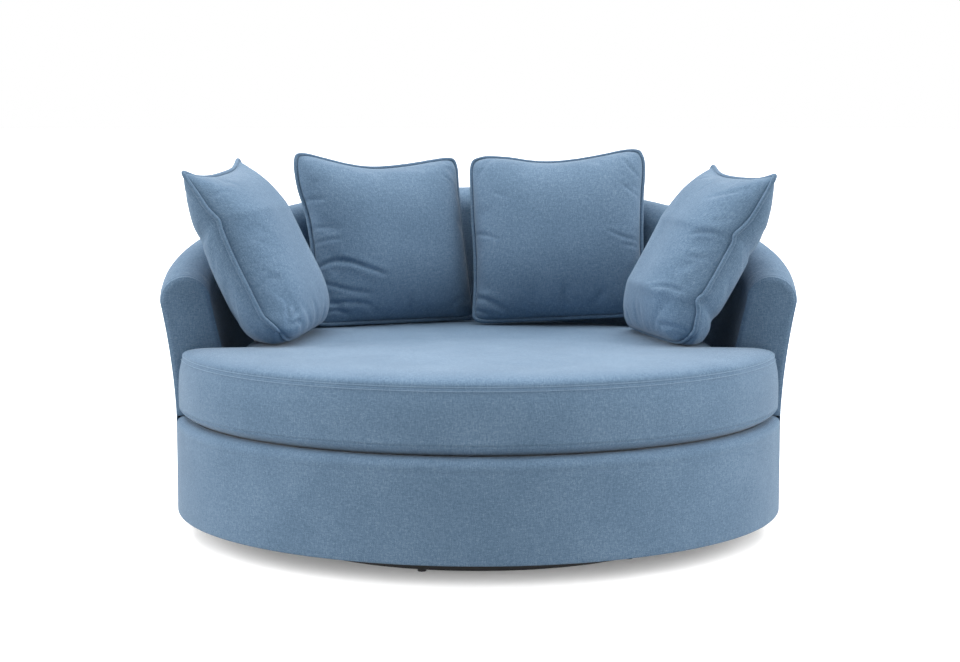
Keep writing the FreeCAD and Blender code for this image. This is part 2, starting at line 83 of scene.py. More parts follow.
def spline(points, count, closed=False):
    """Points evenly spaced on a smooth curve through the given points."""
    p = np.asarray(points, float)
    if closed:
        p = np.vstack([p[-1:], p, p[:2]])
    else:
        p = np.vstack([2 * p[:1] - p[1:2], p, 2 * p[-1:] - p[-2:-1]])
    fine = []
    for k in range(1, len(p) - 2):
        t = np.linspace(0.0, 1.0, 24, endpoint=False)[:, None]
        a, b, c, d = p[k - 1], p[k], p[k + 1], p[k + 2]
        fine.append(0.5 * (2 * b + (c - a) * t + (2 * a - 5 * b + 4 * c - d) * t ** 2
                           + (3 * b - a - 3 * c + d) * t ** 3))
    fine = np.vstack(fine + [p[-2:-1]])
    run = np.concatenate([[0.0], np.cumsum(np.linalg.norm(np.diff(fine, axis=0), axis=1))])
    at = np.linspace(0.0, run[-1], count, endpoint=not closed)
    return np.stack([np.interp(at, run, fine[:, k]) for k in range(fine.shape[1])], 1)


def make_object(name, verts, faces, uvs, material, turn_out=True):
    """Mesh object with one (u, v) in metres for each face corner and its faces turned outwards."""
    mesh = bpy.data.meshes.new(name)
    mesh.from_pydata(np.asarray(verts).tolist(), [], faces)
    layer = mesh.uv_layers.new(name="UVMap")
    layer.data.foreach_set("uv", np.asarray(uvs, np.float32).ravel())
    mesh.polygons.foreach_set("use_smooth", [True] * len(mesh.polygons))
    mesh.materials.append(material)
    if turn_out:
        work = bmesh.new()
        work.from_mesh(mesh)
        bmesh.ops.recalc_face_normals(work, faces=work.faces)
        work.to_mesh(mesh)
        work.free()
    mesh.update()
    piece = bpy.data.objects.new(name, mesh)
    scene.collection.objects.link(piece)
    return piece


def unit(vectors):
    """The same vectors with length 1."""
    return vectors / np.maximum(np.linalg.norm(vectors, axis=-1, keepdims=True), 1e-9)


def grid_normals(grid):
    return unit(np.cross(np.gradient(grid, axis=0), np.gradient(grid, axis=1)))


QUAD = ((0, 0), (0, 1), (1, 1), (1, 0))


def quads(rows, cols, base=0, ring=False):
    """Faces between neighbouring rows of a grid whose columns close on themselves."""
    faces = []
    for i in range(rows if ring else rows - 1):
        for j in range(cols):
            faces.append(tuple(base + (i + a) % rows * cols + (j + b) % cols for a, b in QUAD))
    return faces


def skin(name, grid, uv, material, ring=False):
    """Skin over a grid of places (rows, columns, xyz) whose columns close on themselves: a tube with flat
    ends, or a ring where the rows close too. uv has one column more, and for a ring one row more."""
    rows, cols = grid.shape[:2]
    faces = quads(rows, cols, ring=ring)
    uvs = [uv[i + a][j + b] for i in range(len(faces) // cols) for j in range(cols) for a, b in QUAD]
    for i in () if ring else (0, rows - 1):
        order = range(cols - 1, -1, -1) if i == 0 else range(cols)
        faces.append(tuple(i * cols + j for j in order))
        uvs += [uv[i][j] for j in order]
    return make_object(name, grid.reshape(-1, 3), faces, uvs, material)


def arc3(a, middle, b, count):
    """Points on the circle through three points, from a to b."""
    (ax, ay), (bx, by), (cx, cy) = a, middle, b
    aa, bb, cc = ax ** 2 + ay ** 2, bx ** 2 + by ** 2, cx ** 2 + cy ** 2
    d = 2 * (ax * (by - cy) + bx * (cy - ay) + cx * (ay - by))
    ux = (aa * (by - cy) + bb * (cy - ay) + cc * (ay - by)) / d
    uy = (aa * (cx - bx) + bb * (ax - cx) + cc * (bx - ax)) / d
    start, mid, end = (math.atan2(y - uy, x - ux) for x, y in (a, middle, b))
    turn = (end - start) % (2 * math.pi)
    if (mid - start) % (2 * math.pi) > turn:
        turn -= 2 * math.pi
    r = math.hypot(ax - ux, ay - uy)
    t = start + turn * np.linspace(0.0, 1.0, count)
    return np.stack([ux + r * np.cos(t), uy + r * np.sin(t)], 1)


def straight(a, b, count):
    t = np.linspace(0.0, 1.0, count)[:, None]
    return np.asarray(a) * (1 - t) + np.asarray(b) * t


def chain(*runs):
    """Join runs of points end to end, without repeating where they meet."""
    return np.vstack([run if k == 0 else run[1:] for k, run in enumerate(runs)])


def lengths(points):
    return np.concatenate([[0.0], np.cumsum(np.linalg.norm(np.diff(points, axis=0), axis=1))])


def round_the_chair(angle, profile):
    """(radius, z) points to places at an angle."""
    a = math.radians(angle)
    return np.stack([profile[:, 0] * math.sin(a), profile[:, 0] * math.cos(a), profile[:, 1]], 1)


def tangent(angle):
    a = math.radians(angle)
    return np.array([math.cos(a), -math.sin(a), 0.0])


# Profile of the back and arms, as in the source of the part

def tub_radius(angle):
    a = math.radians(angle)
    return TUB_OFFSET * math.cos(a) + math.sqrt(TUB_RADIUS ** 2 - (TUB_OFFSET * math.sin(a)) ** 2)


def roll_radius(angle):
    return 0.055 + 0.015 * (1.0 + math.cos(math.radians(angle))) / 2.0


def top_radius(angle):
    return 0.765 + 0.021 * float(ease((abs(angle) - 45.0) / 45.0))


def crest_height(angle):
    return 0.835 - 0.175 * (1.0 - math.cos(math.radians(0.95 * angle))) ** 1.2


def roll_centre(angle):
    roll = roll_radius(angle)
    return top_radius(angle) - roll, crest_height(angle) - roll


def roll_point(angle, inset, turn):
    r, z = roll_centre(angle)
    reach = roll_radius(angle) - inset
    return r + reach * math.cos(math.radians(turn)), z + reach * math.sin(math.radians(turn))


def roll_arc(angle, inset, start, end, count):
    r, z = roll_centre(angle)
    t = np.radians(np.linspace(start, end, count))
    reach = roll_radius(angle) - inset
    return np.stack([r + reach * np.cos(t), z + reach * np.sin(t)], 1)


def flare_middle(angle, inset):
    top, z_top = top_radius(angle), roll_centre(angle)[1]
    sag = 0.17 * (top - BASE_RADIUS)
    return (BASE_RADIUS + top) / 2.0 - sag - inset, (RING_TOP + z_top) / 2.0


def inside_radius(angle, z):
    """Radius of the inside face at a height."""
    shoulder_r, shoulder_z = roll_point(angle, 0.0, 180.0)
    if z < shoulder_z:
        share = (z - RING_TOP) / (shoulder_z - RING_TOP)
        return tub_radius(angle) * (1 - share) + shoulder_r * share
    r, centre_z = roll_centre(angle)
    roll = roll_radius(angle)
    rise = min(z - centre_z, roll)
    return r - math.sqrt(roll ** 2 - rise ** 2) if z < centre_z + roll else 9.0
    return r - math.sqrt(roll ** 2 - rise ** 2) if z < centre_z + roll else NO_LIMIT

# Node materials

def nodes_of(name):
    material = bpy.data.materials.new(name)
    material.use_nodes = True
    tree = material.node_tree
    return material, tree, tree.nodes["Principled BSDF"]


def node(tree, kind, **values):
    made = tree.nodes.new(kind)
    for key, value in values.items():
        setattr(made, key, value)
    return made


def math_node(tree, operation, a, b=None, c=None, clamp=False):
    made = node(tree, "ShaderNodeMath", operation=operation, use_clamp=clamp)
    for socket, value in zip(made.inputs, (a, b, c)):
        if value is None:
            continue
        if hasattr(value, "is_output"):
            tree.links.new(value, socket)
        else:
            socket.default_value = value
    return made.outputs[0]


def ramp(tree, value, stops):
    made = node(tree, "ShaderNodeValToRGB")
    elements = made.color_ramp.elements
    while len(elements) < len(stops):
        elements.new(0.5)
    for element, (position, colour) in zip(elements, stops):
        element.position = position
        element.color = (*colour, 1.0)
    tree.links.new(value, made.inputs[0])
    return made.outputs[0]


def noise(tree, vector, scale, detail=2.0, roughness=0.5, seed=0.0):
    made = node(tree, "ShaderNodeTexNoise", noise_dimensions="4D")
    made.inputs["Scale"].default_value = scale
    made.inputs["Detail"].default_value = detail
    made.inputs["Roughness"].default_value = roughness
    made.inputs["W"].default_value = seed
    tree.links.new(vector, made.inputs["Vector"])
    return made.outputs["Fac"]


def mapped(tree, vector, scale):
    made = node(tree, "ShaderNodeMapping")
    made.inputs["Scale"].default_value = scale
    tree.links.new(vector, made.inputs["Vector"])
    return made.outputs[0]


def linear(r, g, b):
    """Colour written as 0-255 to linear light."""
    return tuple((c / 255.0 / 12.92) if c <= 10 else ((c / 255.0 + 0.055) / 1.055) ** 2.4 for c in (r, g, b))


def constants(made, values):
    """Set constant values on inputs of a node."""
    for key, value in values.items():
        made.inputs[key].default_value = value


def relief_from(tree, shader, height, strength, depth):
    """Fine relief on a shader from a height between 0 and 1."""
    bump = node(tree, "ShaderNodeBump")
    constants(bump, {"Strength": strength, "Distance": depth})
    tree.links.new(height, bump.inputs["Height"])
    tree.links.new(bump.outputs[0], shader.inputs["Normal"])


def weighted(tree, *terms):
    """Sum of values, each given with its weight."""
    total = None
    for value, weight in terms:
        part = math_node(tree, "MULTIPLY", value, weight)
        total = part if total is None else math_node(tree, "ADD", total, part)
    return total


def fabric(name, pitch=0.0019, shade=1.0):
    """Heathered plain weave of fine slubby threads with a soft pile."""
    material, tree, shader = nodes_of(name)
    uv = node(tree, "ShaderNodeUVMap", uv_map="UVMap").outputs[0]
    place = node(tree, "ShaderNodeTexCoord").outputs["Object"]
    drift = node(tree, "ShaderNodeTexNoise")
    drift.inputs["Scale"].default_value = 150.0
    tree.links.new(uv, drift.inputs["Vector"])
    wobble = node(tree, "ShaderNodeVectorMath", operation="SCALE")
    wobble.inputs["Scale"].default_value = 0.0009
    tree.links.new(drift.outputs["Color"], wobble.inputs[0])
    bent = node(tree, "ShaderNodeVectorMath", operation="ADD")
    tree.links.new(uv, bent.inputs[0])
    tree.links.new(wobble.outputs[0], bent.inputs[1])
    threads = mapped(tree, bent.outputs[0], (1.0 / pitch, 1.0 / pitch, 1.0))
    split = node(tree, "ShaderNodeSeparateXYZ")
    tree.links.new(threads, split.inputs[0])
    waves = [math_node(tree, "SINE", math_node(tree, "MULTIPLY", split.outputs[k], math.pi)) for k in (0, 1)]
    over = math_node(tree, "MULTIPLY_ADD", math_node(tree, "MULTIPLY", *waves), 2.5, 0.5, clamp=True)
    warp = noise(tree, mapped(tree, threads, (1.0, 0.22, 1.0)), 0.8, 2.0, 0.6, 1.0)
    weft = noise(tree, mapped(tree, threads, (0.30, 1.0, 1.0)), 0.8, 2.0, 0.6, 7.0)
    mix = node(tree, "ShaderNodeMix")
    for socket, value in ((0, over), (2, warp), (3, weft)):
        tree.links.new(value, mix.inputs[socket])
    fibre = noise(tree, threads, 1.7, 3.0, 0.7, 2.0)
    broad = noise(tree, place, 7.0, 2.0, 0.5, 3.0)
    tone = weighted(tree, (mix.outputs[0], 0.50), (fibre, 0.38), (broad, 0.12))

    def blue(r, g, b):
        return tuple(c * shade for c in linear(r, g, b))

    colour = ramp(tree, tone, [(0.36, blue(76, 101, 124)), (0.47, blue(95, 120, 144)),
                               (0.54, blue(106, 131, 155)), (0.66, blue(137, 161, 183))])
    tree.links.new(colour, shader.inputs["Base Color"])
    tree.links.new(math_node(tree, "MULTIPLY_ADD", fibre, 0.16, 0.80), shader.inputs["Roughness"])
    constants(shader, {"Specular IOR Level": 0.15, "Sheen Weight": 0.22, "Sheen Roughness": 0.40,
                       "Sheen Tint": (0.90, 0.95, 1.0, 1.0)})
    ridge = math_node(tree, "MULTIPLY", *(math_node(tree, "ABSOLUTE", wave) for wave in waves))
    relief_from(tree, shader, weighted(tree, (ridge, 0.6), (tone, 1.0)), 0.5, 0.0005)
    return material


def plain_cloth(name, dark, pale, pitch=0.0012):
    """Fine matt cloth in two close tones."""
    material, tree, shader = nodes_of(name)
    place = node(tree, "ShaderNodeTexCoord").outputs["Object"]
    fine = noise(tree, place, 1.0 / pitch, 2.0, 0.6, 1.0)
    broad = noise(tree, place, 14.0, 2.0, 0.5, 5.0)
    tone = weighted(tree, (fine, 0.7), (broad, 0.3))
    tree.links.new(ramp(tree, tone, [(0.35, dark), (0.65, pale)]), shader.inputs["Base Color"])
    constants(shader, {"Roughness": 0.9, "Sheen Weight": 0.1})
    relief_from(tree, shader, fine, 0.4, 0.0004)
    return material


def hard(name, dark, pale, scale, rough, metal=0.0, stretch=(1.0, 1.0, 1.0)):
    """Painted, moulded, metal or wooden finish with grain, patchy gloss and fine relief."""
    material, tree, shader = nodes_of(name)
    place = mapped(tree, node(tree, "ShaderNodeTexCoord").outputs["Object"], stretch)
    grain = noise(tree, place, scale, 4.0, 0.5, 1.0)
    broad = noise(tree, place, scale / 12.0, 2.0, 0.5, 4.0)
    tone = weighted(tree, (grain, 0.6), (broad, 0.4))
    tree.links.new(ramp(tree, tone, [(0.36, dark), (0.62, pale)]), shader.inputs["Base Color"])
    tree.links.new(math_node(tree, "MULTIPLY_ADD", grain, 0.2, rough - 0.1), shader.inputs["Roughness"])
    shader.inputs["Metallic"].default_value = metal
    relief_from(tree, shader, grain, 0.5, 0.0002)
    return material


BLUE = fabric("blue_weave_cloth")
CORD_BLUE = fabric("piping_cloth", pitch=0.0016, shade=0.96)
BLACK_STEEL = hard("black_powder_coat", linear(16, 16, 18), linear(30, 31, 33), 900.0, 0.46)
ZINC = hard("zinc_steel", linear(150, 152, 152), linear(196, 198, 198), 240.0, 0.34, metal=1.0)
NYLON = hard("natural_nylon", linear(214, 210, 196), linear(232, 229, 218), 300.0, 0.42)
PLASTIC = hard("black_plastic", linear(20, 20, 21), linear(34, 34, 36), 500.0, 0.5)
BOARD = hard("ply_board", linear(170, 134, 92), linear(208, 176, 132), 60.0, 0.66, stretch=(1.0, 6.0, 6.0))
HARDBOARD = hard("hardboard", linear(96, 66, 44), linear(126, 92, 64), 420.0, 0.62)
WEBBING = plain_cloth("elastic_webbing", linear(52, 44, 38), linear(86, 74, 62), 0.0018)
DUST = plain_cloth("dust_cloth", linear(22, 22, 24), linear(40, 40, 43), 0.0009)
DECK = plain_cloth("deck_cloth", linear(112, 118, 124), linear(146, 152, 158), 0.0011)
THREAD = plain_cloth("stitching_thread", linear(126, 152, 178), linear(150, 176, 200), 0.0010)
TAPE = plain_cloth("zip_tape", linear(40, 60, 84), linear(60, 82, 108), 0.0008)

FINISHES = {
    "base_glides": PLASTIC, "roller_cage": PLASTIC, "bearing_rollers": NYLON,
    "base_ring": BLACK_STEEL, "base_arms": BLACK_STEEL, "lower_plate": BLACK_STEEL, "top_plate": BLACK_STEEL,
    "top_plate_screws": ZINC, "pivot_nut": ZINC,
    "cross_rails": BOARD, "base_bottom_ring": BOARD, "base_top_ring": BOARD, "base_studs": BOARD,
    "back_posts": BOARD, "post_blocks": BOARD, "back_top_rail": BOARD, "arm_boards": BOARD,
    "base_skirt_panel": HARDBOARD,
    "seat_webbing_across": WEBBING, "seat_webbing_along": WEBBING, "back_webbing": WEBBING,
}
for cad_name, finish in FINISHES.items():
    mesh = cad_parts[cad_name].data
    mesh.materials.clear()
    mesh.materials.append(finish)


def settle(piece, body, slot, *replaced):
    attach(piece, body)
    if replaced:
        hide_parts(*replaced)
    return piece


# Inside of the back and arms: cover over foam, in three panels sewn at the sides

def angles_with_seams(start, end, step, seams, fine=0.12, band=0.9):
    """Even angles, closer together beside each seam."""
    out = list(np.arange(start, end, step)) + [end]
    for seam in seams:
        out = [a for a in out if abs(a - seam) > band]
        out += list(np.arange(seam - band, seam + band + 1e-6, fine))
    return np.array(sorted(out))


INSIDE_RADIUS, OUTSIDE_RADIUS, BORDER_RADIUS = 0.62, 0.76, 0.75
WALL_END, WALL_SOFT_END = 45, 40


def seam_sink(away):
    """Groove of a sewn seam with a soft ridge on both sides, by the distance from it."""
    return -0.0018 * np.exp(-(away / 0.0018) ** 2) + 0.0006 * np.exp(-((np.abs(away) - 0.004) / 0.002) ** 2)


def round_cloth(name, angles, sections, radius, inward, relief):
    """Cloth round the chair from a (front, back) section at each angle. relief says how far the front stands
    out, from the distance around at the radius and the length along the section."""
    fronts, backs = zip(*sections)
    grid = np.array([round_the_chair(a, front) for a, front in zip(angles, fronts)])
    normal = grid_normals(grid)
    outlook = grid[:, 20] - 0.55 * UP
    if ((normal[:, 20] * outlook).sum() < 0) != inward:
        normal = -normal
    rise = np.array([lengths(front) for front in fronts])
    around = np.radians(angles)[:, None] * radius * np.ones_like(rise)
    grid = grid + normal * relief(around, rise)[:, :, None]
    rings = np.concatenate([grid, np.array([round_the_chair(a, back) for a, back in zip(angles, backs)])], 1)
    uv = np.stack([around, rise], 2)
    uv = np.concatenate([uv, np.repeat(uv[:, -1:], len(backs[0]) + 1, 1)], 1)
    return skin(name, rings, uv, BLUE)


def inside_section(angle):
    level = RING_TOP + 0.0005
    wall = straight((tub_radius(angle), level), roll_point(angle, 0.0, 180.0), WALL_END + 1)
    front = chain(wall, roll_arc(angle, 0.0, 180.0, 0.0, 40))
    r, z = roll_centre(angle)
    rail_in, rail_out, rail_bottom, rail_top = r - 0.020, r + 0.025, z - 0.042, z - 0.004
    back = np.array([roll_point(angle, INSIDE_COVER, 0.0), (rail_out, rail_top), (rail_in, rail_top),
                     (rail_in, rail_bottom - 0.018), (tub_radius(angle) + INSIDE_COVER + BACK_FOAM, level)])
    return front, back


def shell_inside():
    seams = (-PANEL_ANGLE, PANEL_ANGLE)
    angles = angles_with_seams(-ARM_ANGLE, ARM_ANGLE, 0.62, seams)
    to_arm = (ARM_ANGLE - np.abs(angles))[:, None]

    def relief(around, rise):
        left_over = rise[:, -1:] - rise
        edge = ease(rise / 0.03) * ease(left_over / 0.02)
        push = 0.0016 * field(around, rise, 0.16, 3) + 0.0006 * field(around, rise, 0.05, 4)
        on_roll = ease((rise - rise[:, WALL_END:WALL_END + 1]) / 0.05) * ease(left_over / 0.06)
        gathers = field(around, rise * 0.25, 0.011, 9) * np.exp(-(to_arm / 7.0) ** 2)
        push = (push + 0.0016 * on_roll * gathers) * edge * ease(to_arm / 3.0)
        on_wall = 1.0 - ease((rise - rise[:, WALL_SOFT_END:WALL_SOFT_END + 1]) / 0.04)
        for seam in seams:
            away = np.radians(angles - seam)[:, None] * INSIDE_RADIUS
            push += seam_sink(away) * edge * (0.2 + 0.8 * on_wall)
        return push

    sections = [inside_section(a) for a in angles]
    return round_cloth("shell_inside", angles, sections, INSIDE_RADIUS, True, relief)


inside = settle(shell_inside(), "chair", "blue_weave",
                "inside_arm_left_cover", "inside_back_cover", "inside_arm_right_cover", "back_foam")


# Outside of the back and arms, in one piece from the crest to the hem under the drum

HEM_SECTION = [(BASE_RADIUS - COVER, FLOOR_GAP + HEM_THICK), (BASE_RADIUS - HEM, FLOOR_GAP + HEM_THICK),
               (BASE_RADIUS - HEM, FLOOR_GAP)]


def outside_section(angle):
    top, z_top = top_radius(angle), roll_centre(angle)[1] - 0.0003
    wall = straight((BASE_RADIUS, FLOOR_GAP + HEM_NIP), (BASE_RADIUS, RING_TOP), 26)
    flare = arc3((BASE_RADIUS, RING_TOP), flare_middle(angle, 0.0), (top, z_top), 44)
    outer = chain(np.array([(BASE_RADIUS - HEM_NIP, FLOOR_GAP), wall[0]]), wall, flare)
    inner_flare = arc3((top - COVER, z_top), flare_middle(angle, COVER), (BASE_RADIUS - COVER, RING_TOP), 12)
    return outer, np.vstack([inner_flare, HEM_SECTION])


def shell_outside():
    angles = angles_with_seams(-ARM_ANGLE, ARM_ANGLE, 0.62, (0.0,))
    to_arm = (ARM_ANGLE - np.abs(angles))[:, None]

    def relief(around, rise):
        edge = ease(rise / 0.03) * ease((rise[:, -1:] - rise) / 0.03)
        waves = 0.0009 * field(around, rise, 0.22, 11) + 0.0004 * field(around, rise, 0.06, 12)
        return (waves * ease(to_arm / 3.0) + seam_sink(around)) * edge

    sections = [outside_section(a) for a in angles]
    return round_cloth("shell_outside", angles, sections, OUTSIDE_RADIUS, False, relief)


settle(shell_outside(), "chair", "blue_weave", "outside_back_cover")


# Padded facings on the arm fronts

# Rim of a facing from its back edge to its face: how far it is drawn in and how far it stands forward
FACING_RIM = [(0.0096, 0.0), (0.0, 0.0), (0.0, 0.006), (0.0002, 0.0100), (0.0010, 0.0130), (0.0022, 0.0152),
              (0.0032, 0.0158), (0.0039, 0.0158), (0.0048, 0.0166), (0.0070, 0.0182), (0.0105, 0.0194),
              (0.0160, 0.0201), (0.0240, 0.0203)]
FACING_BACK = (0.0096, 0.0103)
FACING_SPANS = 8


def facing_outline(angle, inset, forward, count=30):
    """Places round an arm's front from the foot over the roll to the heel."""
    low = DECK_TOP + inset
    foot = (tub_radius(angle) + inset, low)
    heel = (BASE_RADIUS - inset, low)
    rise = straight(foot, roll_point(angle, inset, 180.0), count)
    fall = arc3(roll_point(angle, inset, 0.0), flare_middle(angle, inset), heel, count)
    left = chain(rise, roll_arc(angle, inset, 180.0, 90.0, 14))
    flat = chain(left, roll_arc(angle, inset, 90.0, 0.0, 14), fall)
    return round_the_chair(angle, flat) + tangent(angle) * math.copysign(forward, angle), flat


def arm_facing(name, angle):
    """Padded front of an arm: a rounded rim, and a crowned face between its two sides."""
    outlines = [facing_outline(angle, inset, forward) for inset, forward in FACING_RIM]
    count, cols = len(outlines), len(outlines[0][0])
    verts = [place for places, _ in outlines for place in places]
    flat = [spot for _, spots in outlines for spot in spots]
    faces = quads(count, cols)
    start = (count - 1) * cols
    push = tangent(angle) * math.copysign(1.0, angle)
    rows = []
    for i in range(cols // 2):
        a, b = start + i, start + cols - 1 - i
        row = [a]
        for t in np.arange(1, FACING_SPANS) / FACING_SPANS:
            spot = flat[a] * (1 - t) + flat[b] * t
            wide = abs(flat[b][0] - flat[a][0])
            crown = 0.0012 * min(wide / 0.1, 1.0) + 0.0007 * float(field(spot[0] + angle, spot[1], 0.05, 21))
            row.append(len(verts))
            verts.append(verts[a] * (1 - t) + verts[b] * t + push * crown * math.sin(math.pi * t))
            flat.append(spot)
        rows.append(row + [b])
    for near, far in zip(rows, rows[1:]):
        faces += [(near[k], near[k + 1], far[k + 1], far[k]) for k in range(FACING_SPANS)]
    faces += [(rows[-1][k], rows[-1][k + 1], start + cols // 2) for k in range(FACING_SPANS)]
    back = len(verts)
    inner, inner_flat = facing_outline(angle, *FACING_BACK)
    verts += list(inner)
    flat += list(inner_flat)
    faces += [(back + j, j, (j + 1) % cols, back + (j + 1) % cols) for j in range(cols)]
    faces.append(tuple(back + j for j in range(cols)))
    uvs = [flat[v] for face in faces for v in face]
    return make_object(name, verts, faces, uvs, BLUE)


for side, angle in (("left", -ARM_ANGLE), ("right", ARM_ANGLE)):
    facing = arm_facing("facing_" + side, angle)
    settle(facing, "chair", "blue_weave", "arm_facing_" + side)


# Border cloth round the open front of the drum

BORDER_ROLL, BORDER_LAP, BORDER_SEAM = 0.023, 0.035, 0.034
# How far the middle of a quarter circle stands back from its square corner on each axis, by its radius
QUARTER = 0.293


def front_section():
    r, low, top = BASE_RADIUS, FLOOR_GAP, DECK_TOP
    nip, roll = HEM_NIP, BORDER_ROLL
    bottom = arc3((r - nip, low), (r - nip * QUARTER, low + nip * QUARTER), (r, low + nip), 5)
    wall = straight((r, low + nip), (r, top - roll), 44)
    shoulder = arc3((r, top - roll), (r - roll * QUARTER, top - roll * QUARTER), (r - roll, top), 11)
    lap = straight((r - roll, top), (r - BORDER_LAP, top), 6)
    inner = [(r - BORDER_LAP, top - 0.003), (r - COVER, RING_TOP)] + HEM_SECTION
    return chain(bottom, wall, shoulder, lap), np.array(inner)


def base_front():
    end = 360.0 - ARM_ANGLE
    angles = np.arange(ARM_ANGLE, end + 1e-6, 0.652)
    angles[-1] = end
    section = front_section()

    def relief(around, rise):
        fade = (ease((angles - ARM_ANGLE) / 2.0) * ease((end - angles) / 2.0))[:, None]
        edge = ease(rise / 0.02) * ease((rise[:, -1:] - rise) / 0.02)
        waves = 0.0010 * field(around, rise, 0.20, 31) + 0.0005 * field(around, rise, 0.05, 32)
        below_seam = section[0][:, 1] - (DECK_TOP - BORDER_SEAM)
        return (waves * fade - 0.0012 * np.exp(-(below_seam / 0.0020) ** 2)) * edge

    return round_cloth("base_border", angles, [section] * len(angles), BORDER_RADIUS, False, relief)


settle(base_front(), "chair", "blue_weave", "base_front_cover")


BAR_RIM = [(-1.0, -0.5), (-0.6, -1.0), (0.6, -1.0), (1.0, -0.5),
           (1.0, 0.5), (0.6, 1.0), (-0.6, 1.0), (-1.0, 0.5)]
BAR_RINGS = ((-0.5, 0.62), (-0.42, 1.0), (0.42, 1.0), (0.5, 0.62))


def bars(name, places, material):
    """Small rounded bars in one mesh, each given as (centre, along, across, up, (long, wide, high))."""
    verts, faces = [], []
    sides = len(BAR_RIM)
    for centre, along, across, up, (long, wide, high) in places:
        base = len(verts)
        for step, shrink in BAR_RINGS:
            for a, b in BAR_RIM:
                side = across * (a * wide / 2 * shrink) + up * (b * high / 2 * shrink)
                verts.append(centre + along * (step * long) + side)
        faces += quads(len(BAR_RINGS), sides, base)
        faces.append(tuple(base + j for j in range(sides - 1, -1, -1)))
        faces.append(tuple(base + 3 * sides + j for j in range(sides)))
    uvs = [(0.001 * a, 0.001 * b) for face in faces for a, b in BAR_RIM[:len(face)]]
    return make_object(name, verts, faces, uvs, material)


# Seat cushion

def crossing(forward, centre_y, radius):
    a = math.radians(ARM_ANGLE)
    out = np.array([math.sin(a), math.cos(a)])
    ahead = np.array([math.cos(a), -math.sin(a)])
    along = out[1] * centre_y
    rest = forward ** 2 - 2.0 * forward * ahead[1] * centre_y + centre_y ** 2 - radius ** 2
    return out * (along + math.sqrt(along ** 2 - rest)) + ahead * forward


def seat_outline(inset):
    """Plan of the seat: round front, ears ahead of the arms, round back."""
    front = SEAT_RADIUS - inset
    back = TUB_RADIUS - SEAT_GAP - inset
    gap = EAR_GAP + inset
    notch = crossing(gap, TUB_OFFSET, back)
    tip = crossing(gap, 0.0, front)
    a = math.radians(ARM_ANGLE)
    ear_end = tip - np.array([math.sin(a), math.cos(a)]) * EAR_CORNER
    tip_angle = math.atan2(tip[0], tip[1]) + EAR_CORNER / front
    round_end = front * np.array([math.sin(tip_angle), math.cos(tip_angle)])
    bulge = (ear_end + round_end) * 0.5
    corner_mid = bulge + (tip - bulge) * 0.42
    cheek_angle = (tip_angle + math.pi) / 2.0
    cheek = front * np.array([math.sin(cheek_angle), math.cos(cheek_angle)])
    hub = np.array([0.0, TUB_OFFSET])
    rear = np.array([0.0, TUB_OFFSET + back])
    aim = (notch - hub) + (rear - hub)
    flank = hub + aim / np.linalg.norm(aim) * back
    half = chain(arc3((0.0, -front), cheek, round_end, 150), arc3(round_end, corner_mid, ear_end, 9),
                 straight(ear_end, notch, 20), arc3(notch, flank, rear, 110))
    mirror = half[::-1] * np.array([-1.0, 1.0])
    return np.vstack([half, mirror[1:-1]])


SEAT_HEART = np.array([0.0, -0.17])


def seat_profile():
    """Heights and insets up the seat's side to its top seam, and from there over the rounded shoulder."""
    side = [(SEAT_BOTTOM + rise, inset) for rise, inset in (
        (0.0, 0.0360), (0.0015, 0.0300), (0.0048, 0.0220),
        (0.0092, 0.0140), (0.0142, 0.0072), (0.0190, 0.0028))]
    side += [(LOW_SEAM + rise, inset) for rise, inset in (
        (-0.0018, 0.0004), (-0.0007, 0.0014), (0.0007, 0.0012), (0.0018, -0.0002))]
    for t in np.linspace(0.05, 0.95, 17):
        height = LOW_SEAM + (SEAT_SEAM - 0.006 - LOW_SEAM) * t
        side.append((height, -0.0010 * math.sin(math.pi * t) + 0.0075 * t ** 4))
    side += [(SEAT_SEAM + rise, inset) for rise, inset in (
        (-0.0045, 0.0071), (-0.0030, 0.0073), (-0.0014, 0.0078), (-0.0004, 0.0083), (0.0006, 0.0086))]
    shoulder = []
    for inset in (0.0084, 0.0094, 0.0112, 0.0136, 0.0166, 0.0205, 0.026,
                  0.033, 0.042, 0.053, 0.066, 0.081, 0.096):
        share = 1.0 - (1.0 - (inset - 0.0080) / 0.102) ** 2.6
        shoulder.append((SEAT_SEAM + 0.002 + (SEAT_TOP - SEAT_SEAM - 0.002) * share ** (1 / 2.6), inset))
    return side, shoulder


def at_height(plan, height):
    return np.column_stack([plan, np.full(len(plan), height)])


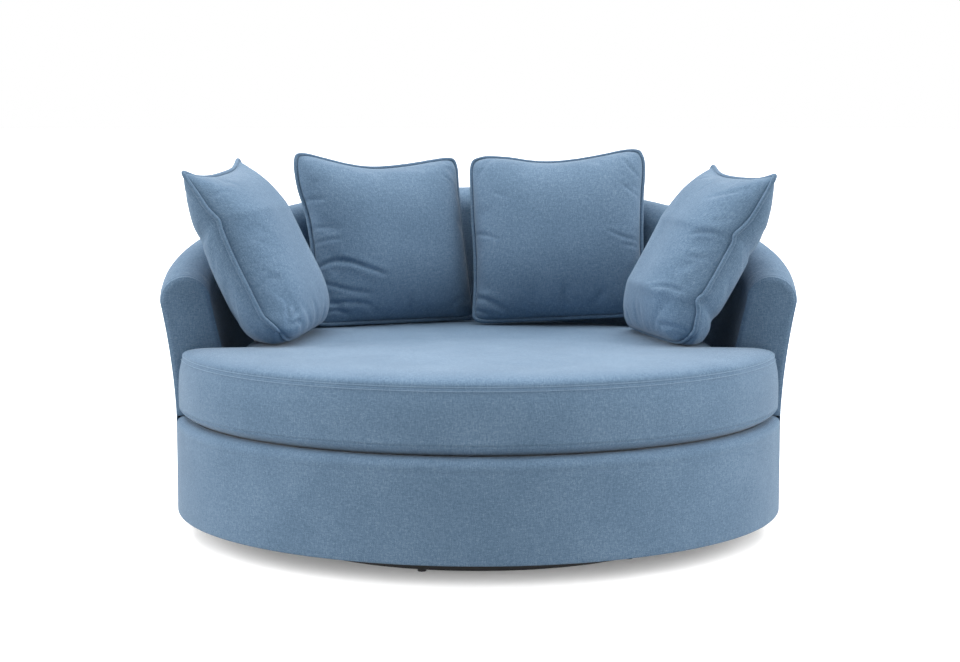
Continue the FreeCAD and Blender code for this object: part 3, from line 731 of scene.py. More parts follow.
def seat_cushion():
    """Seat cushion from the middle of its underside, up its border and over its top to the middle."""
    side, shoulder = seat_profile()
    rows = [at_height(seat_outline(inset), height) for height, inset in side + shoulder]
    rim, rim_height = rows[-1][:, :2], rows[-1][0, 2]
    under_rim = seat_outline(0.044)
    under = [at_height(SEAT_HEART + (under_rim - SEAT_HEART) * t, SEAT_BOTTOM)
             for t in np.linspace(0.0, 1.0, 9)[1:]]
    top = []
    for t in np.linspace(1.0, 0.0, 26)[1:-1]:
        height = rim_height + (SEAT_TOP - rim_height) * ease((1 - t) * 4)
        top.append(at_height(SEAT_HEART + (rim - SEAT_HEART) * t, height))
    grid = np.array(under + rows + top)
    count, cols = grid.shape[:2]
    first_side = len(under)
    crown = first_side + len(side)

    x, y = grid[crown:, :, 0], grid[crown:, :, 1]
    swell = 0.0045 * np.exp(-((x / 0.42) ** 2 + ((y + 0.30) / 0.30) ** 2))
    waves = 0.0014 * field(x, y, 0.14, 41) + 0.0006 * field(x, y, 0.05, 42)
    grid[crown:, :, 2] += ease((np.arange(count - crown) - 3) / 12.0)[:, None] * (swell + waves)

    around = lengths(np.vstack([grid[first_side + 10], grid[first_side + 10][:1]]))
    waves = 0.0012 * field(around[:-1], 0.0 * around[:-1], 0.12, 43)
    for i in range(first_side + 9, crown - 4):
        height = grid[i, 0, 2]
        bulge = math.sin(math.pi * (height - LOW_SEAM) / (SEAT_SEAM - LOW_SEAM))
        ripple = waves + 0.0006 * field(around[:-1], np.full(cols, height), 0.05, 44)
        grid[i, :, :2] += unit(grid[i, :, :2] - SEAT_HEART) * (ripple * bulge)[:, None] * 0.8

    # The weave runs straight over the shoulder, so its plan is rolled out there
    plan = grid[:, :, :2].copy()
    shoulder_end = crown + len(shoulder) - 1
    outward = unit(grid[crown, :, :2] - grid[shoulder_end, :, :2])
    reach = np.zeros(cols)
    for i in range(shoulder_end - 1, crown - 1, -1):
        reach = reach + np.linalg.norm(grid[i] - grid[i + 1], axis=1)
        plan[i] = grid[shoulder_end, :, :2] + outward * reach[:, None]
    plan_uv = np.concatenate([plan, plan[:, :1]], 1)
    side_uv = np.stack(np.meshgrid(grid[:, 0, 2], around, indexing="ij")[::-1], 2)

    faces = quads(count, cols)
    uvs = []
    for i in range(count - 1):
        uv = side_uv if first_side <= i < crown - 1 else plan_uv
        uvs += [uv[i + a, j + b] for j in range(cols) for a, b in QUAD]
    verts = list(grid.reshape(-1, 3))
    for row, height in ((0, SEAT_BOTTOM), (count - 1, grid[-1, :, 2].mean())):
        tip = len(verts)
        verts.append(np.array([*SEAT_HEART, height]))
        for j in range(cols):
            a, b = row * cols + j, row * cols + (j + 1) % cols
            faces.append((tip, b, a) if row == 0 else (a, b, tip))
            uvs += [verts[v][:2] for v in faces[-1]]
    return make_object("seat_cushion", verts, faces, uvs, BLUE)


seat = seat_cushion()


# Scatter cushions

# Each cushion's place (mm, then turn, lean and roll in degrees) and the points of its sewn edge in mm from
# its middle: across, behind the middle plane, and up
CORNERS = {
    "left": {
        "place": (-557.0, 25.0, 700.9, 80.4, -28.3, -1.7),
        "top": [(-228, 2, 236), (-150, 2, 216), (-60, -2, 207), (60, -6, 208), (150, -8, 216),
                (234, -8, 240)],
        "right": [(234, -8, 240), (218, -6, 150), (210, -2, 40), (211, 0, -60), (219, 0, -160),
                  (226, 0, -226)],
        "bottom": [(226, 0, -226), (150, 0, -229), (40, 0, -229), (-70, 0, -229), (-165, -8, -225),
                   (-204, -14, -206)],
        "left": [(-204, -14, -206), (-218, -12, -192), (-223, -5, -170), (-221, 1, -146), (-220, -1, -77),
                 (-220, -4, -1), (-222, -11, 65), (-222, -17, 93), (-223, -14, 106), (-225, -7, 133),
                 (-227, -3, 177), (-228, 2, 215), (-228, 2, 236)],
    },
    "back_left": {
        "place": (-249.0, 426.0, 709.3, 24.4, -20.0, 0.2),
        "top": [(-230, 0, 240), (-188, 0, 231), (-133, 0, 215), (-78, 0, 201), (-21, 0, 193), (38, 0, 195),
                (98, 0, 202), (159, 0, 212), (233, 0, 223)],
        "right": [(233, 0, 223), (230, 0, 175), (225, 0, 132), (222, 0, 74), (219, 0, -12), (219, 0, -98),
                  (221, 0, -173), (228, 0, -231)],
        "bottom": [(228, 0, -231), (150, 0, -230), (40, 0, -230), (-70, 0, -230), (-160, 0, -231),
                   (-236, 0, -232)],
        "left": [(-236, 0, -232), (-222, 0, -160), (-213, 0, -85), (-210, 0, -16), (-214, 0, 67),
                 (-229, 0, 151),
                 (-230, 0, 240)],
    },
    "back_right": {
        "place": (216.0, 418.0, 714.0, -5.2, -24.1, -3.1),
        "top": [(-231, 0, 234), (-181, 0, 235), (-126, 0, 228), (-72, 0, 216), (-17, 0, 210), (51, 0, 213),
                (120, 0, 223), (174, 0, 233), (230, 0, 239)],
        "right": [(230, 0, 239), (233, 0, 194), (230, 0, 151), (224, 0, 93), (217, 0, -37), (220, 0, -150),
                  (228, 0, -230)],
        "bottom": [(228, 0, -230), (150, 0, -230), (40, 0, -230), (-70, 0, -230), (-160, 0, -231),
                   (-234, 0, -231)],
        "left": [(-234, 0, -231), (-224, 0, -144), (-223, 0, -30), (-227, 0, 57), (-230, 0, 174),
                 (-231, 0, 234)],
    },
    "right": {
        "place": (557.0, 32.0, 692.9, -77.0, -29.4, 0.0),
        "top": [(-234, -6, 240), (-150, -6, 216), (-60, -4, 208), (60, -4, 207), (150, -4, 212),
                (229, -6, 226)],
        "right": [(229, -6, 226), (228, -5, 190), (226, -5, 149), (223, -7, 108), (221, -14, 78),
                  (219, -22, 54),
                  (219, -16, 38), (220, -16, 0), (221, -17, -61), (222, -19, -100), (221, -26, -124),
                  (222, -13, -142), (223, -4, -166), (219, 4, -190), (204, 6, -206)],
        "bottom": [(204, 6, -206), (165, 4, -225), (70, 0, -229), (-40, 0, -229), (-150, 0, -229),
                   (-226, 0, -226)],
        "left": [(-226, 0, -226), (-219, 0, -160), (-211, 0, -60), (-210, -2, 40), (-218, -6, 150),
                 (-234, -6, 240)],
    },
}


def pillow_matrix(name):
    x, y, z, turn, lean, roll = CORNERS[name]["place"]
    spin = (Matrix.Rotation(math.radians(turn), 4, "Z") @ Matrix.Rotation(math.radians(lean), 4, "X")
            @ Matrix.Rotation(math.radians(roll), 4, "Y"))
    return Matrix.Translation((x / 1000.0, y / 1000.0, z / 1000.0)) @ spin


CELLS = 72
PILLOW_FRONT, PILLOW_BEHIND = 0.103, 0.095
SHEET = 0.524
CORNER_ROUND = {"left": 0.010, "back_left": 0.026, "back_right": 0.026, "right": 0.010}
# Fullness towards each edge: power of the crown, power of its fall to the seam, and swell past the seam
SIDE_CUSHION = {"side": (3.2, 0.62, 0.0015), "top": (2.8, 0.68, 0.0), "bottom": (5.0, 0.56, 0.012)}
BACK_CUSHION = {"side": (3.0, 0.64, 0.0010), "top": (2.8, 0.68, 0.0), "bottom": (2.6, 0.74, 0.002)}


def seam_loop(name):
    """Places of the sewn edge, CELLS to a side, from the bottom left corner round by the right."""
    sides = []
    for side in ("bottom", "right", "top", "left"):
        run = np.array(CORNERS[name][side], float)[::-1] / 1000.0
        sides.append(spline(run, CELLS + 1))
    turn = CORNER_ROUND[name]
    turn = CORNER_ROUND[name]
    corners = [side[0].copy() for side in sides]
    for corner in corners:
        for side in sides:
            near = np.clip(1.0 - np.linalg.norm(side - corner, axis=1) / (1.7 * turn), 0.0, 1.0) ** 2
            side -= unit(corner) * near[:, None] * 0.41 * turn
    return sides


def crown_table(power, fall):
    """Places in the plane, 0 at the middle and 1 at the seam, evenly spaced over the crowned cloth."""
    w = 1.0 - np.linspace(1.0, 0.0, 800) ** 2
    rise = (1.0 - w ** power) ** fall
    run = lengths(np.stack([PILLOW_HALF * w, PILLOW_FRONT * rise], 1))
    return np.interp(np.linspace(0.0, 1.0, CELLS // 2 + 1), run / run[-1], w)


def pillow_grid(name):
    """Two square sheets that share their border: flat, sewn to the seam, and fully stuffed."""
    fullness = BACK_CUSHION if name.startswith("back") else SIDE_CUSHION
    bottom, right, top, left = seam_loop(name)
    n = CELLS
    index, verts, flat, full, faces, uvs = {}, [], [], [], [], []
    t = np.linspace(0.0, 1.0, n + 1)
    low, high, west, east = bottom, top[::-1], left[::-1], right
    tables = {edge: crown_table(*fullness[edge][:2]) for edge in fullness}

    def pick(run, w):
        at = w * n
        k = min(int(at), n - 1)
        return run[k] * (1 - (at - k)) + run[k + 1] * (at - k)

    def place(u, v):
        across = pick(low, u) * (1 - v) + pick(high, u) * v
        up = pick(west, v) * (1 - u) + pick(east, v) * u
        corner = (low[0] * (1 - u) * (1 - v) + low[n] * u * (1 - v) + high[0] * (1 - u) * v + high[n] * u * v)
        return across + up - corner

    def stuffed(i, j, side):
        edges = ("side", "top" if j > n // 2 else "bottom")
        steps = (i - n // 2, j - n // 2)
        w = [float(tables[edge][abs(step)]) for edge, step in zip(edges, steps)]
        share = [(1.0 - min(a, 1.0) ** fullness[e][0]) ** fullness[e][1] for a, e in zip(w, edges)]
        spot = place(*(0.5 + 0.5 * math.copysign(a, step) for a, step in zip(w, steps)))
        depth = (PILLOW_FRONT if side < 0 else PILLOW_BEHIND) * share[0] * share[1]
        for axis, (edge, step) in enumerate(zip(edges, steps)):
            q = (1.0 - abs(step) / (n / 2.0)) / 0.10
            swell = fullness[edge][2] * q * math.exp(1.0 - q) * share[1 - axis] ** 0.3
            spot[0 if axis == 0 else 2] += math.copysign(swell, step)
        spot[1] += side * depth
        return spot

    def add(i, j, side):
        border = i in (0, n) or j in (0, n)
        key = (i, j, 0 if border else side)
        if key not in index:
            u, v = t[i] * 2 - 1, t[j] * 2 - 1
            index[key] = len(verts)
            verts.append(place(t[i], t[j]))
            puff = 0.0 if border else side * 0.02 * (1 - u * u) ** 0.5 * (1 - v * v) ** 0.5
            flat.append((u * SHEET / 2, puff, v * SHEET / 2))
            full.append(verts[-1] if border else stuffed(i, j, side))
        return index[key]

    for side in (-1, 1):
        for i in range(n):
            for j in range(n):
                corners = [(i, j), (i + 1, j), (i + 1, j + 1), (i, j + 1)]
                if side > 0:
                    corners = corners[::-1]
                faces.append(tuple(add(a, b, side) for a, b in corners))
                uvs += [(t[a] * SHEET * side, t[b] * SHEET) for a, b in corners]
    border = [k for (i, j, s), k in index.items() if i in (0, n) or j in (0, n)]
    ring = [index[(i, 0, 0)] for i in range(n)] + [index[(n, j, 0)] for j in range(n)]
    ring += [index[(i, n, 0)] for i in range(n, 0, -1)] + [index[(0, j, 0)] for j in range(n, 0, -1)]
    panels = [np.array([[index[(i, j, 0 if i in (0, n) or j in (0, n) else side)] for j in range(n + 1)]
                        for i in range(n + 1)]) for side in (-1, 1)]
    return np.array(verts), np.array(flat), np.array(full), faces, uvs, border, ring, panels


def blurred(values, reach=5, passes=3):
    """Grid of values with everything finer than the reach smoothed away."""
    out = values.copy()
    for _ in range(passes):
        for axis in (0, 1):
            pad = [(reach, reach) if k == axis else (0, 0) for k in range(out.ndim)]
            wide = np.pad(out, pad, mode="edge")
            out = sum(np.take(wide, range(k, k + values.shape[axis]), axis) for k in range(2 * reach + 1))
            out = out / (2 * reach + 1)
    return out


def baked(piece):
    """Evaluated mesh of a piece, with its modifiers applied."""
    graph = bpy.context.evaluated_depsgraph_get()
    return bpy.data.meshes.new_from_object(piece.evaluated_get(graph))


def inflate(piece, sewn, border, pressure, frames):
    """Blow up the two flat sheets while their border is drawn in to the seam."""
    piece.shape_key_add(name="Basis")
    key = piece.shape_key_add(name="sewn")
    key.data.foreach_set("co", sewn.ravel())
    key.value = 0.0
    key.keyframe_insert("value", frame=1)
    key.value = 1.0
    key.keyframe_insert("value", frame=frames // 2)
    piece.vertex_groups.new(name="seam").add(border, 1.0, "REPLACE")
    cloth = piece.modifiers.new("cloth", "CLOTH")
    s = cloth.settings
    s.quality = 6
    s.mass = 0.3
    s.tension_stiffness = 15.0
    s.compression_stiffness = 5.0
    s.shear_stiffness = 5.0
    s.bending_stiffness = 0.5
    s.air_damping = 5.0
    s.use_pressure = True
    s.uniform_pressure_force = pressure
    s.effector_weights.gravity = 0.0
    s.vertex_group_mass = "seam"
    s.pin_stiffness = 1.0
    cloth.collision_settings.use_collision = False
    cloth.point_cache.frame_start, cloth.point_cache.frame_end = 1, frames
    scene.frame_start, scene.frame_end = 1, frames
    for f in range(1, frames + 1):
        scene.frame_set(f)
    mesh = baked(piece)
    co = coords(mesh)
    bpy.data.meshes.remove(mesh)
    piece.modifiers.clear()
    piece.shape_key_clear()
    piece.vertex_groups.clear()
    scene.frame_set(1)
    return co


def refined(piece):
    """The same piece with one level of subdivision in its mesh."""
    smooth = piece.modifiers.new("smooth", "SUBSURF")
    smooth.levels = smooth.render_levels = 1
    mesh = baked(piece)
    piece.modifiers.clear()
    old = piece.data
    piece.data = mesh
    bpy.data.meshes.remove(old)
    return piece


def coords(mesh):
    out = np.zeros(len(mesh.vertices) * 3)
    mesh.vertices.foreach_get("co", out)
    return out.reshape(-1, 3)


def set_coords(mesh, co):
    mesh.vertices.foreach_set("co", np.asarray(co, np.float32).ravel())
    mesh.update()


def normals(mesh):
    out = np.zeros(len(mesh.vertices) * 3, np.float32)
    mesh.vertex_normals.foreach_get("vector", out)
    return out.reshape(-1, 3).astype(float)


# Creases on the front of each cushion: points across and up in mm, depth and width in mm
CREASES = {
    "back_left": [([(-226, 105), (-184, 89)], 2, 5), ([(-212, 26), (-173, 9)], 2, 5),
                  ([(-210, -17), (-155, -24)], 2, 5),
                  ([(-212, -84), (-184, -78), (-146, -87), (-104, -107), (-45, -131)], 5.5, 6),
                  ([(-212, -131), (-156, -158), (-85, -174)], 3, 5), ([(-212, -186), (-143, -191),
                    (-82, -200)], 4, 5),
                  ([(-225, -212), (-184, -206), (-140, -218)], 3, 4), ([(165, 158), (200, 128)], 2, 5)],
    "back_right": [([(184, 192), (203, 165), (224, 146)], 2.5, 5), ([(172, 114), (206, 97),
                   (222, 89)], 2, 5),
                   ([(138, -27), (178, -38), (212, -34)], 2.5, 5), ([(177, -60), (210, -54)], 2, 5),
                   ([(-222, 6), (-184, -17), (-156, -34)], 3, 5), ([(-224, -172), (-182, -194),
                     (-142, -215)], 5, 6),
                   ([(-228, -205), (-190, -222)], 3, 4), ([(-172, 107), (-119, 79)], 1.5, 6),
                   ([(-226, 205), (-218, 165)], 2, 5)],
    "left": [([(-219, -89), (-200, -85), (-155, -97)], 2, 5), ([(-222, 155), (-165, 148)], 2, 6),
             ([(-206, -200), (-194, -176), (-182, -150)], 4, 5), ([(-204, -203), (-182, -190),
               (-150, -182)], 4, 5),
             ([(-202, -207), (-178, -206), (-148, -212)], 4, 5)],
    "right": [([(160, 14), (190, 30), (217, 40)], 4, 5), ([(130, -142), (180, -128), (219, -124)], 5, 5),
              ([(150, -216), (195, -209), (224, -200)], 5, 5), ([(180, -42), (218, -26)], 2, 5),
              ([(199, 168), (160, 140), (100, 113)], 2.5, 7), ([(176, -226), (200, -218),
                (218, -214)], 3, 4)],
}


def press_creases(co, normal, strokes):
    """Fold a valley with a raised lip on both sides of it along each stroke on the front face."""
    out = co.copy()
    every = np.arange(len(co))
    front = ease((-co[:, 1] + 0.006) / 0.02)
    for points, depth, width in strokes:
        line = spline(np.array(points, float) / 1000.0, 40)
        run = lengths(line) / lengths(line)[-1]
        gaps = co[:, None, [0, 2]] - line[None]
        far = np.linalg.norm(gaps, axis=2)
        near = far.argmin(1)
        w = width / 1000.0
        away = far[every, near]
        taper = np.sin(np.pi * (0.12 + 0.88 * run[near])) ** 0.7
        shape = 0.30 * np.exp(-((away - 2.2 * w) / (1.4 * w)) ** 2) - np.exp(-(away / w) ** 2)
        out += normal * (shape * taper * front * depth / 1000.0)[:, None]
    return out


PRESSURE, FRAMES, FOLD_LIMIT = 5.0, 24, 0.0022
FOLD_SHARE = np.array([0.3, 0.8, 0.3])


def build_pillow(name):
    """One scatter cushion in its place, and the run of its seam."""
    sewn, flat, full, faces, uvs, border, ring, panels = pillow_grid(name)
    piece = make_object("pillow_" + name, flat, faces, uvs, BLUE, turn_out=False)
    co = full.copy()
    blown = inflate(piece, sewn, border, PRESSURE, FRAMES)
    from_edge = np.minimum(np.arange(CELLS + 1), np.arange(CELLS + 1)[::-1])
    fade = ease((np.minimum.outer(from_edge, from_edge) - 1) / 9.0)
    for panel in panels:
        fold = blown[panel] - blurred(blown[panel])
        co[panel] += np.clip(fold, -FOLD_LIMIT, FOLD_LIMIT) * fade[:, :, None] * FOLD_SHARE
    set_coords(piece.data, co)
    refined(piece)
    mesh = piece.data
    set_coords(mesh, press_creases(coords(mesh), normals(mesh), CREASES[name]))
    matrix = pillow_matrix(name)
    mesh.transform(matrix)
    return piece, np.array([matrix @ Vector(place) for place in co[ring]])


def surface_of(piece):
    """Search tree over the faces of a piece."""
    mesh = piece.data
    return BVHTree.FromPolygons([v.co for v in mesh.vertices], [p.vertices for p in mesh.polygons])


def clear_of_shell(co, gap=0.002):
    """Keep places inside the tub."""
    out = co.copy()
    r = np.hypot(co[:, 0], co[:, 1])
    a = np.degrees(np.arctan2(co[:, 0], co[:, 1]))
    for k in np.nonzero((r > 0.56) & (np.abs(a) < 99.0))[0]:
        limit = inside_radius(a[k], co[k, 2]) - gap
        if r[k] > limit:
            out[k, :2] *= limit / r[k]
    return out


def part_pair(one, two, gap=0.0012, rounds=4):
    """Push two soft pieces apart where they would pass through each other."""
    for _ in range(rounds):
        moved = False
        for a, b in ((one, two), (two, one)):
            surface = surface_of(b)
            co, other = coords(a.data), coords(b.data)
            close = ((co > other.min(0) - gap) & (co < other.max(0) + gap)).all(1)
            shift = np.zeros_like(co)
            for k in np.nonzero(close)[0]:
                hit, normal = surface.find_nearest(Vector(co[k]), 0.05)[:2]
                if hit is None:
                    continue
                depth = (Vector(co[k]) - hit).dot(normal)
                if depth < gap:
                    shift[k] = np.array(normal) * (gap - depth) * 0.55
                    moved = True
            set_coords(a.data, co + shift)
        if not moved:
            break


PILLOWS = {}
LOOPS = {}
for pillow_name in CORNERS:
    PILLOWS[pillow_name], LOOPS[pillow_name] = build_pillow(pillow_name)

# The cushions stand a little sunk in the seat, and their bottoms spread out over this height
REST_Z, SPREAD = SEAT_TOP - 0.003, 0.012
for piece in PILLOWS.values():
    co = clear_of_shell(coords(piece.data))
    drop = np.clip(REST_Z + SPREAD - co[:, 2], 0.0, None)
    co[:, 2] = np.where(drop > 0.0, REST_Z + SPREAD * np.exp(-drop / SPREAD), co[:, 2])
    set_coords(piece.data, co)
for first, second in (("left", "back_left"), ("back_left", "back_right"), ("back_right", "right")):
    part_pair(PILLOWS[first], PILLOWS[second])


def dent_seat():
    """Let the seat give way under the cushions that stand on it."""
    co = coords(seat.data)
    top = np.nonzero(co[:, 2] > SEAT_TOP - 0.012)[0]
    limit = np.full(len(co), NO_LIMIT)
    for piece in PILLOWS.values():
        surface = surface_of(piece)
        for k in top:
            hit = surface.ray_cast(Vector((co[k, 0], co[k, 1], 0.40)), Vector(UP), 0.12)[0]
            if hit is not None:
                limit[k] = min(limit[k], hit.z - 0.0008)
    co[:, 2] = np.minimum(co[:, 2], limit)
    set_coords(seat.data, co)


dent_seat()


STITCH, STITCH_STEP, STITCH_LIFT = (0.0042, 0.0012, 0.0010), 0.0054, 0.0006
STITCH_ROWS = ((0.0062, SEAT_SEAM - 0.0046), (0.0092, SEAT_SEAM + 0.0042))


def topstitch():
    """Twin rows of stitches along the seam between the seat's border and its top."""
    places = []
    for inset, height in STITCH_ROWS:
        plan = seat_outline(inset)
        half = len(plan) // 2
        keep = (plan[:, 1] < 0.16) & (np.hypot(plan[:, 0], plan[:, 1]) > 0.66)
        line = np.roll(at_height(plan, height), half, 0)[np.roll(keep, half)]
        run = lengths(line)
        spots = np.arange(0.003, run[-1] - 0.003, STITCH_STEP)
        mids = np.stack([np.interp(spots, run, line[:, k]) for k in range(3)], 1)
        for spot, ahead in zip(mids, unit(np.gradient(mids, axis=0))):
            out = np.cross(ahead, UP)
            out = out * math.copysign(1.0, out @ spot)
            places.append((spot + out * STITCH_LIFT, ahead, UP, out, STITCH))
    return bars("seat_topstitch", places, THREAD)


settle(topstitch(), "seat_cushion", "blue_weave")
settle(seat, "seat_cushion", "blue_weave", "seat_cushion_cover", "seat_cushion_foam")


def tube(name, path, radius, material, sides=10):
    """Ring-shaped tube along a closed path, slightly uneven in thickness."""
    ahead = unit(np.roll(path, -1, 0) - np.roll(path, 1, 0))
    up = np.zeros_like(path)
    up[0] = unit(np.cross(ahead[0], [0.3, 0.5, 0.8]))
    for k in range(1, len(path)):
        up[k] = unit(up[k - 1] - ahead[k] * np.dot(up[k - 1], ahead[k]))
    out = np.cross(ahead, up)
    run = lengths(np.vstack([path, path[:1]]))
    thick = radius * (1.0 + 0.05 * field(run[:-1], 0.0 * run[:-1], 0.02, 51))
    turn = np.linspace(0.0, 2 * math.pi, sides, endpoint=False)[None, :, None]
    spokes = up[:, None] * np.cos(turn) + out[:, None] * np.sin(turn)
    girth = np.linspace(0.0, 2 * math.pi * radius, sides + 1)
    uv = np.stack(np.meshgrid(run, girth, indexing="ij"), 2)
    return skin(name, path[:, None] + spokes * thick[:, None, None], uv, material, ring=True)


for pillow_name, piece in PILLOWS.items():
    body = pillow_name + "_pillow"
    settle(piece, body, "blue_weave", "pillow_%s_cover" % pillow_name, "pillow_%s_fill" % pillow_name)
    surface = surface_of(piece)
    path = np.array([surface.find_nearest(Vector(place))[0] for place in LOOPS[pillow_name]])
    away = unit(path - np.array(pillow_matrix(pillow_name).translation))
    path = spline(path + away * PIPING_OUT, 480, closed=True)
    path[:, 2] = np.maximum(path[:, 2], REST_Z + PIPING + 0.0006)
    welt = tube("piping_" + pillow_name, path, PIPING, CORD_BLUE)
    settle(welt, body, "piping_weave", "pillow_%s_piping" % pillow_name)


# Deck pad, dust cover and zips

QUILT_STEP, QUILT_DEPTH, RIM_DROP = 0.16, 0.0012, 0.0006


def quilted_pad(name, outline, low, high, material):
    """Flat pad between two heights with a softened rim and quilted channels on top."""
    heart = outline.mean(0)
    shares = np.linspace(0.02, 1.0, 22)
    rows = [at_height(heart + (outline - heart) * t, low) for t in shares]
    for t in shares[::-1]:
        row = at_height(heart + (outline - heart) * t, high)
        to_channel = 0.5 - np.abs(row[:, :2] / QUILT_STEP % 1.0 - 0.5).min(1)
        row[:, 2] -= RIM_DROP if t == 1.0 else QUILT_DEPTH * np.exp(-(to_channel / 0.05) ** 2)
        rows.append(row)
    grid = np.array(rows)
    uv = np.concatenate([grid[:, :, :2], grid[:, :1, :2]], 1)
    return skin(name, grid, uv, material)


pad_outline = seat_outline(0.008)
pad_outline *= np.minimum(1.0, 0.708 / np.hypot(pad_outline[:, 0], pad_outline[:, 1]))[:, None]
pad = quilted_pad("deck_pad_cloth", pad_outline, RING_TOP + 0.004, DECK_TOP, DECK)
settle(pad, "chair", "deck_cloth", "deck_pad")


DUST_OUT, DUST_BORE, DUST_TOP, DUST_HEM = 0.716, 0.240, 0.0730, 0.012


def dust_ring():
    """Ring of cloth pulled flat under the frame, with a doubled hem at both rims."""
    inner, outer = DUST_BORE + DUST_HEM, DUST_OUT - DUST_HEM
    upper = [DUST_OUT, outer, *np.linspace(outer - 0.002, inner + 0.002, 22), inner, DUST_BORE]
    radii = np.array(upper + upper[::-1])
    turn = np.linspace(0.0, 2 * math.pi, 180, endpoint=False)[:, None]
    x, y = radii * np.sin(turn), radii * np.cos(turn)
    share = ease(np.minimum(radii - inner, outer - radii) / 0.10)
    pull = 0.0004 * np.cos(turn * 60.0) * ease((radii - 0.60) / 0.09)
    z = DUST_TOP - share * (0.0005 + 0.0002 * field(x, y, 0.07, 61) + pull)
    doubled = (radii < inner + 0.001) | (radii > outer - 0.001)
    z[:, len(upper):] -= np.where(doubled, 0.0015, 0.0009)[len(upper):]
    grid = np.stack([x, y, z], 2)
    uv = np.pad(grid[:, :, :2], ((0, 1), (0, 1), (0, 0)), mode="wrap")
    return skin("dust_cloth_ring", grid, uv, DUST, ring=True)


STAPLE = (0.011, 0.0012, 0.0007)


def staples():
    places = []
    for radius, count in ((DUST_OUT - 0.006, 60), (DUST_BORE + 0.006, 20)):
        for turn in 2 * math.pi * (np.arange(count) + 0.5) / count:
            out = np.array([math.sin(turn), math.cos(turn), 0.0])
            places.append((out * radius + UP * (DUST_TOP - 0.0017), np.cross(out, UP), out, UP, STAPLE))
    return bars("dust_cloth_staples", places, ZINC)


dust = settle(dust_ring(), "chair", "dust_cloth", "dust_cover")
fixings = settle(staples(), "chair", "steel")


# Section of a closed zip, across and outwards, and the sizes of its metal and plastic pieces
ZIP_SECTION = [(-0.0070, 0.0), (-0.0070, 0.00055), (-0.0022, 0.0006), (-0.0019, 0.0009), (0.0019, 0.0009),
               (0.0022, 0.0006), (0.0070, 0.00055), (0.0070, 0.0)]
ZIP_TOOTH, ZIP_TOOTH_STEP = (0.0038, 0.0014, 0.0009), 0.0021
ZIP_SLIDER, ZIP_PULL, ZIP_SLIDER_AT = (0.0090, 0.0074, 0.0020), (0.0170, 0.0042, 0.0007), 0.012


def zip_run(name, line, out, up, body, cad_node):
    """Tape with interlocking teeth and a slider along a line of places with their outward and upward ways."""
    run = lengths(line)
    rings = np.stack([line + up * across + out * height for across, height in ZIP_SECTION], 1)
    uv = np.stack(np.meshgrid(run, [across for across, _ in ZIP_SECTION + ZIP_SECTION[:1]], indexing="ij"), 2)
    settle(skin(name, rings, uv, TAPE), body, "zip_tape", cad_node)
    tracks = np.concatenate([line, out, up, unit(np.gradient(line, axis=0))], 1)

    def at(distance):
        """Place and the outward, upward and lengthwise ways at a distance along the zip."""
        return np.split(np.array([np.interp(distance, run, track) for track in tracks.T]), 4)

    teeth = []
    for k, distance in enumerate(np.arange(0.008, run[-1] - 0.006, ZIP_TOOTH_STEP)):
        spot, o, u, a = at(distance)
        teeth.append((spot + o * 0.00105 + u * (0.0006 if k % 2 else -0.0006), u, a, o, ZIP_TOOTH))
    settle(bars(name + "_teeth", teeth, PLASTIC), body, "black_plastic")
    spot, o, u, a = at(ZIP_SLIDER_AT)
    slider = [(spot + o * 0.0012, a, u, o, ZIP_SLIDER), (spot + o * 0.0021 + a * 0.0085, a, u, o, ZIP_PULL)]
    settle(bars(name + "_slider", slider, ZINC), body, "steel")


def seat_zip():
    """Zip across the back of the seat's border."""
    turns = np.radians(np.linspace(-16.0, 16.0, 90))
    out = np.stack([np.sin(turns), np.cos(turns), 0 * turns], 1)
    centre = np.array([0.0, TUB_OFFSET, SEAT_SEAM - 0.053])
    line = out * (TUB_RADIUS - SEAT_GAP + 0.0002) + centre
    zip_run("seat_zip", line, out, np.repeat(UP[None], len(turns), 0), "seat_cushion", "seat_cushion_zip")


def pillow_zip(name, piece):
    """Zip behind the bottom seam of a scatter cushion."""
    matrix = pillow_matrix(name)
    spin = matrix.to_3x3()
    surface = surface_of(piece)
    hits = [surface.ray_cast(matrix @ Vector((across, 0.20, -0.199)), spin @ Vector((0, -1, 0)))[:2]
            for across in np.linspace(-0.150, 0.150, 61)]
    line, out = (np.array(values) for values in zip(*hits))
    for _ in range(6):
        for run in (line, out):
            run[1:-1] = (run[:-2] + 2 * run[1:-1] + run[2:]) / 4.0
    out = unit(out)
    upright = np.array(spin.col[2])
    up = unit(upright - out * (out @ upright)[:, None])
    zip_run("zip_" + name, line + out * 0.0004, out, up, name + "_pillow", "pillow_%s_zip" % name)


seat_zip()
for pillow_name, piece in PILLOWS.items():
    pillow_zip(pillow_name, piece)


# Camera, floor and light

camera_data = bpy.data.cameras.new("camera")
camera_data.sensor_width = 36.0
camera_data.lens = 75.4
camera = bpy.data.objects.new("camera", camera_data)
camera.location = (0.0037, -5.0, 1.035)
camera.rotation_euler = (math.radians(90.0 - 6.1), 0.0, 0.0)
scene.collection.objects.link(camera)
scene.camera = camera

WHITE = (1.0, 1.0, 1.0, 1.0)
FLOOR_HALF = 150.0
FLOOR_FOR_BOUNCES, FLOOR_SEEN, FLOOR_GLOW = 0.30, 0.93, 0.10


def seen_directly(tree):
    """1 for what the camera sees directly, in a mirror or through glass, and 0 for light that bounces."""
    path = node(tree, "ShaderNodeLightPath")
    seen = math_node(tree, "MAXIMUM", path.outputs["Is Camera Ray"], path.outputs["Is Glossy Ray"])
    return math_node(tree, "MAXIMUM", seen, path.outputs["Is Transmission Ray"])


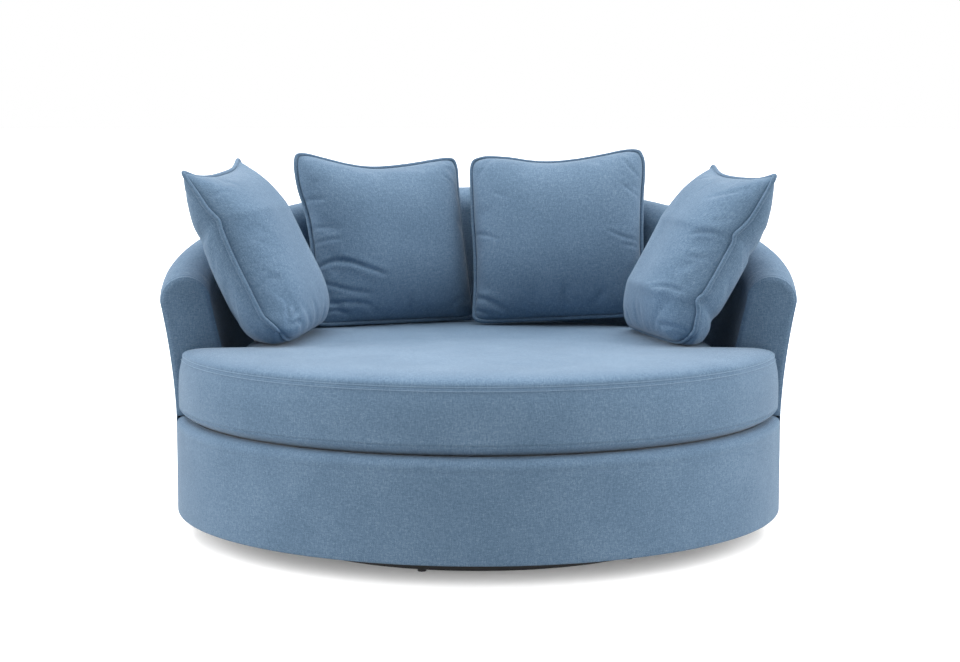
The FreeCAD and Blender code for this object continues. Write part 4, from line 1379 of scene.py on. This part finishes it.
def white_floor():
    """Plain floor, white to the camera and darker for the light that it throws back."""
    unit_square = [(0, 0), (1, 0), (1, 1), (0, 1)]
    verts = [((2 * u - 1) * FLOOR_HALF, (2 * v - 1) * FLOOR_HALF, 0.0) for u, v in unit_square]
    material, tree, shader = nodes_of("pale_floor")
    seen = seen_directly(tree)
    colour = ramp(tree, seen, [(0.0, (FLOOR_FOR_BOUNCES,) * 3), (1.0, (FLOOR_SEEN,) * 3)])
    tree.links.new(colour, shader.inputs["Base Color"])
    constants(shader, {"Roughness": 0.9, "Specular IOR Level": 0.0, "Emission Color": WHITE})
    tree.links.new(math_node(tree, "MULTIPLY", seen, FLOOR_GLOW), shader.inputs["Emission Strength"])
    return make_object("floor", verts, [(0, 1, 2, 3)], unit_square, material, turn_out=False)


floor = white_floor()


def sun(name, source, strength, spread):
    light = bpy.data.lights.new(name, "SUN")
    light.energy = strength
    light.angle = math.radians(spread)
    lamp = bpy.data.objects.new(name, light)
    lamp.rotation_mode = "QUATERNION"
    lamp.rotation_quaternion = Vector(source).to_track_quat("Z", "Y")
    scene.collection.objects.link(lamp)
    return lamp


sun("top_light", (0.0, 0.18, 1.0), 3.6, 84.0)
sun("left_light", (-1.0, -0.14, 0.34), 2.45, 50.0)
sun("right_light", (1.0, -0.14, 0.34), 2.45, 50.0)

# A low light from the front reaches the floor under the drum's edge and nothing else
floor_light = sun("floor_light", (0.0, -1.0, 0.36), 8.0, 32.0)
lit = bpy.data.collections.new("lit_floor")
lit.objects.link(floor)
floor_light.light_linking.receiver_collection = lit

WORLD_LIGHT, WORLD_SEEN = 0.24, 1.0
world = bpy.data.worlds.new("studio")
world.use_nodes = True
scene.world = world
tree = world.node_tree
tree.nodes.clear()
mixed = node(tree, "ShaderNodeMixShader")
tree.links.new(seen_directly(tree), mixed.inputs[0])
for socket, strength in ((1, WORLD_LIGHT), (2, WORLD_SEEN)):
    background = node(tree, "ShaderNodeBackground")
    constants(background, {"Color": WHITE, "Strength": strength})
    tree.links.new(background.outputs[0], mixed.inputs[socket])
tree.links.new(mixed.outputs[0], node(tree, "ShaderNodeOutputWorld").inputs[0])
scene.view_settings.view_transform = "Standard"
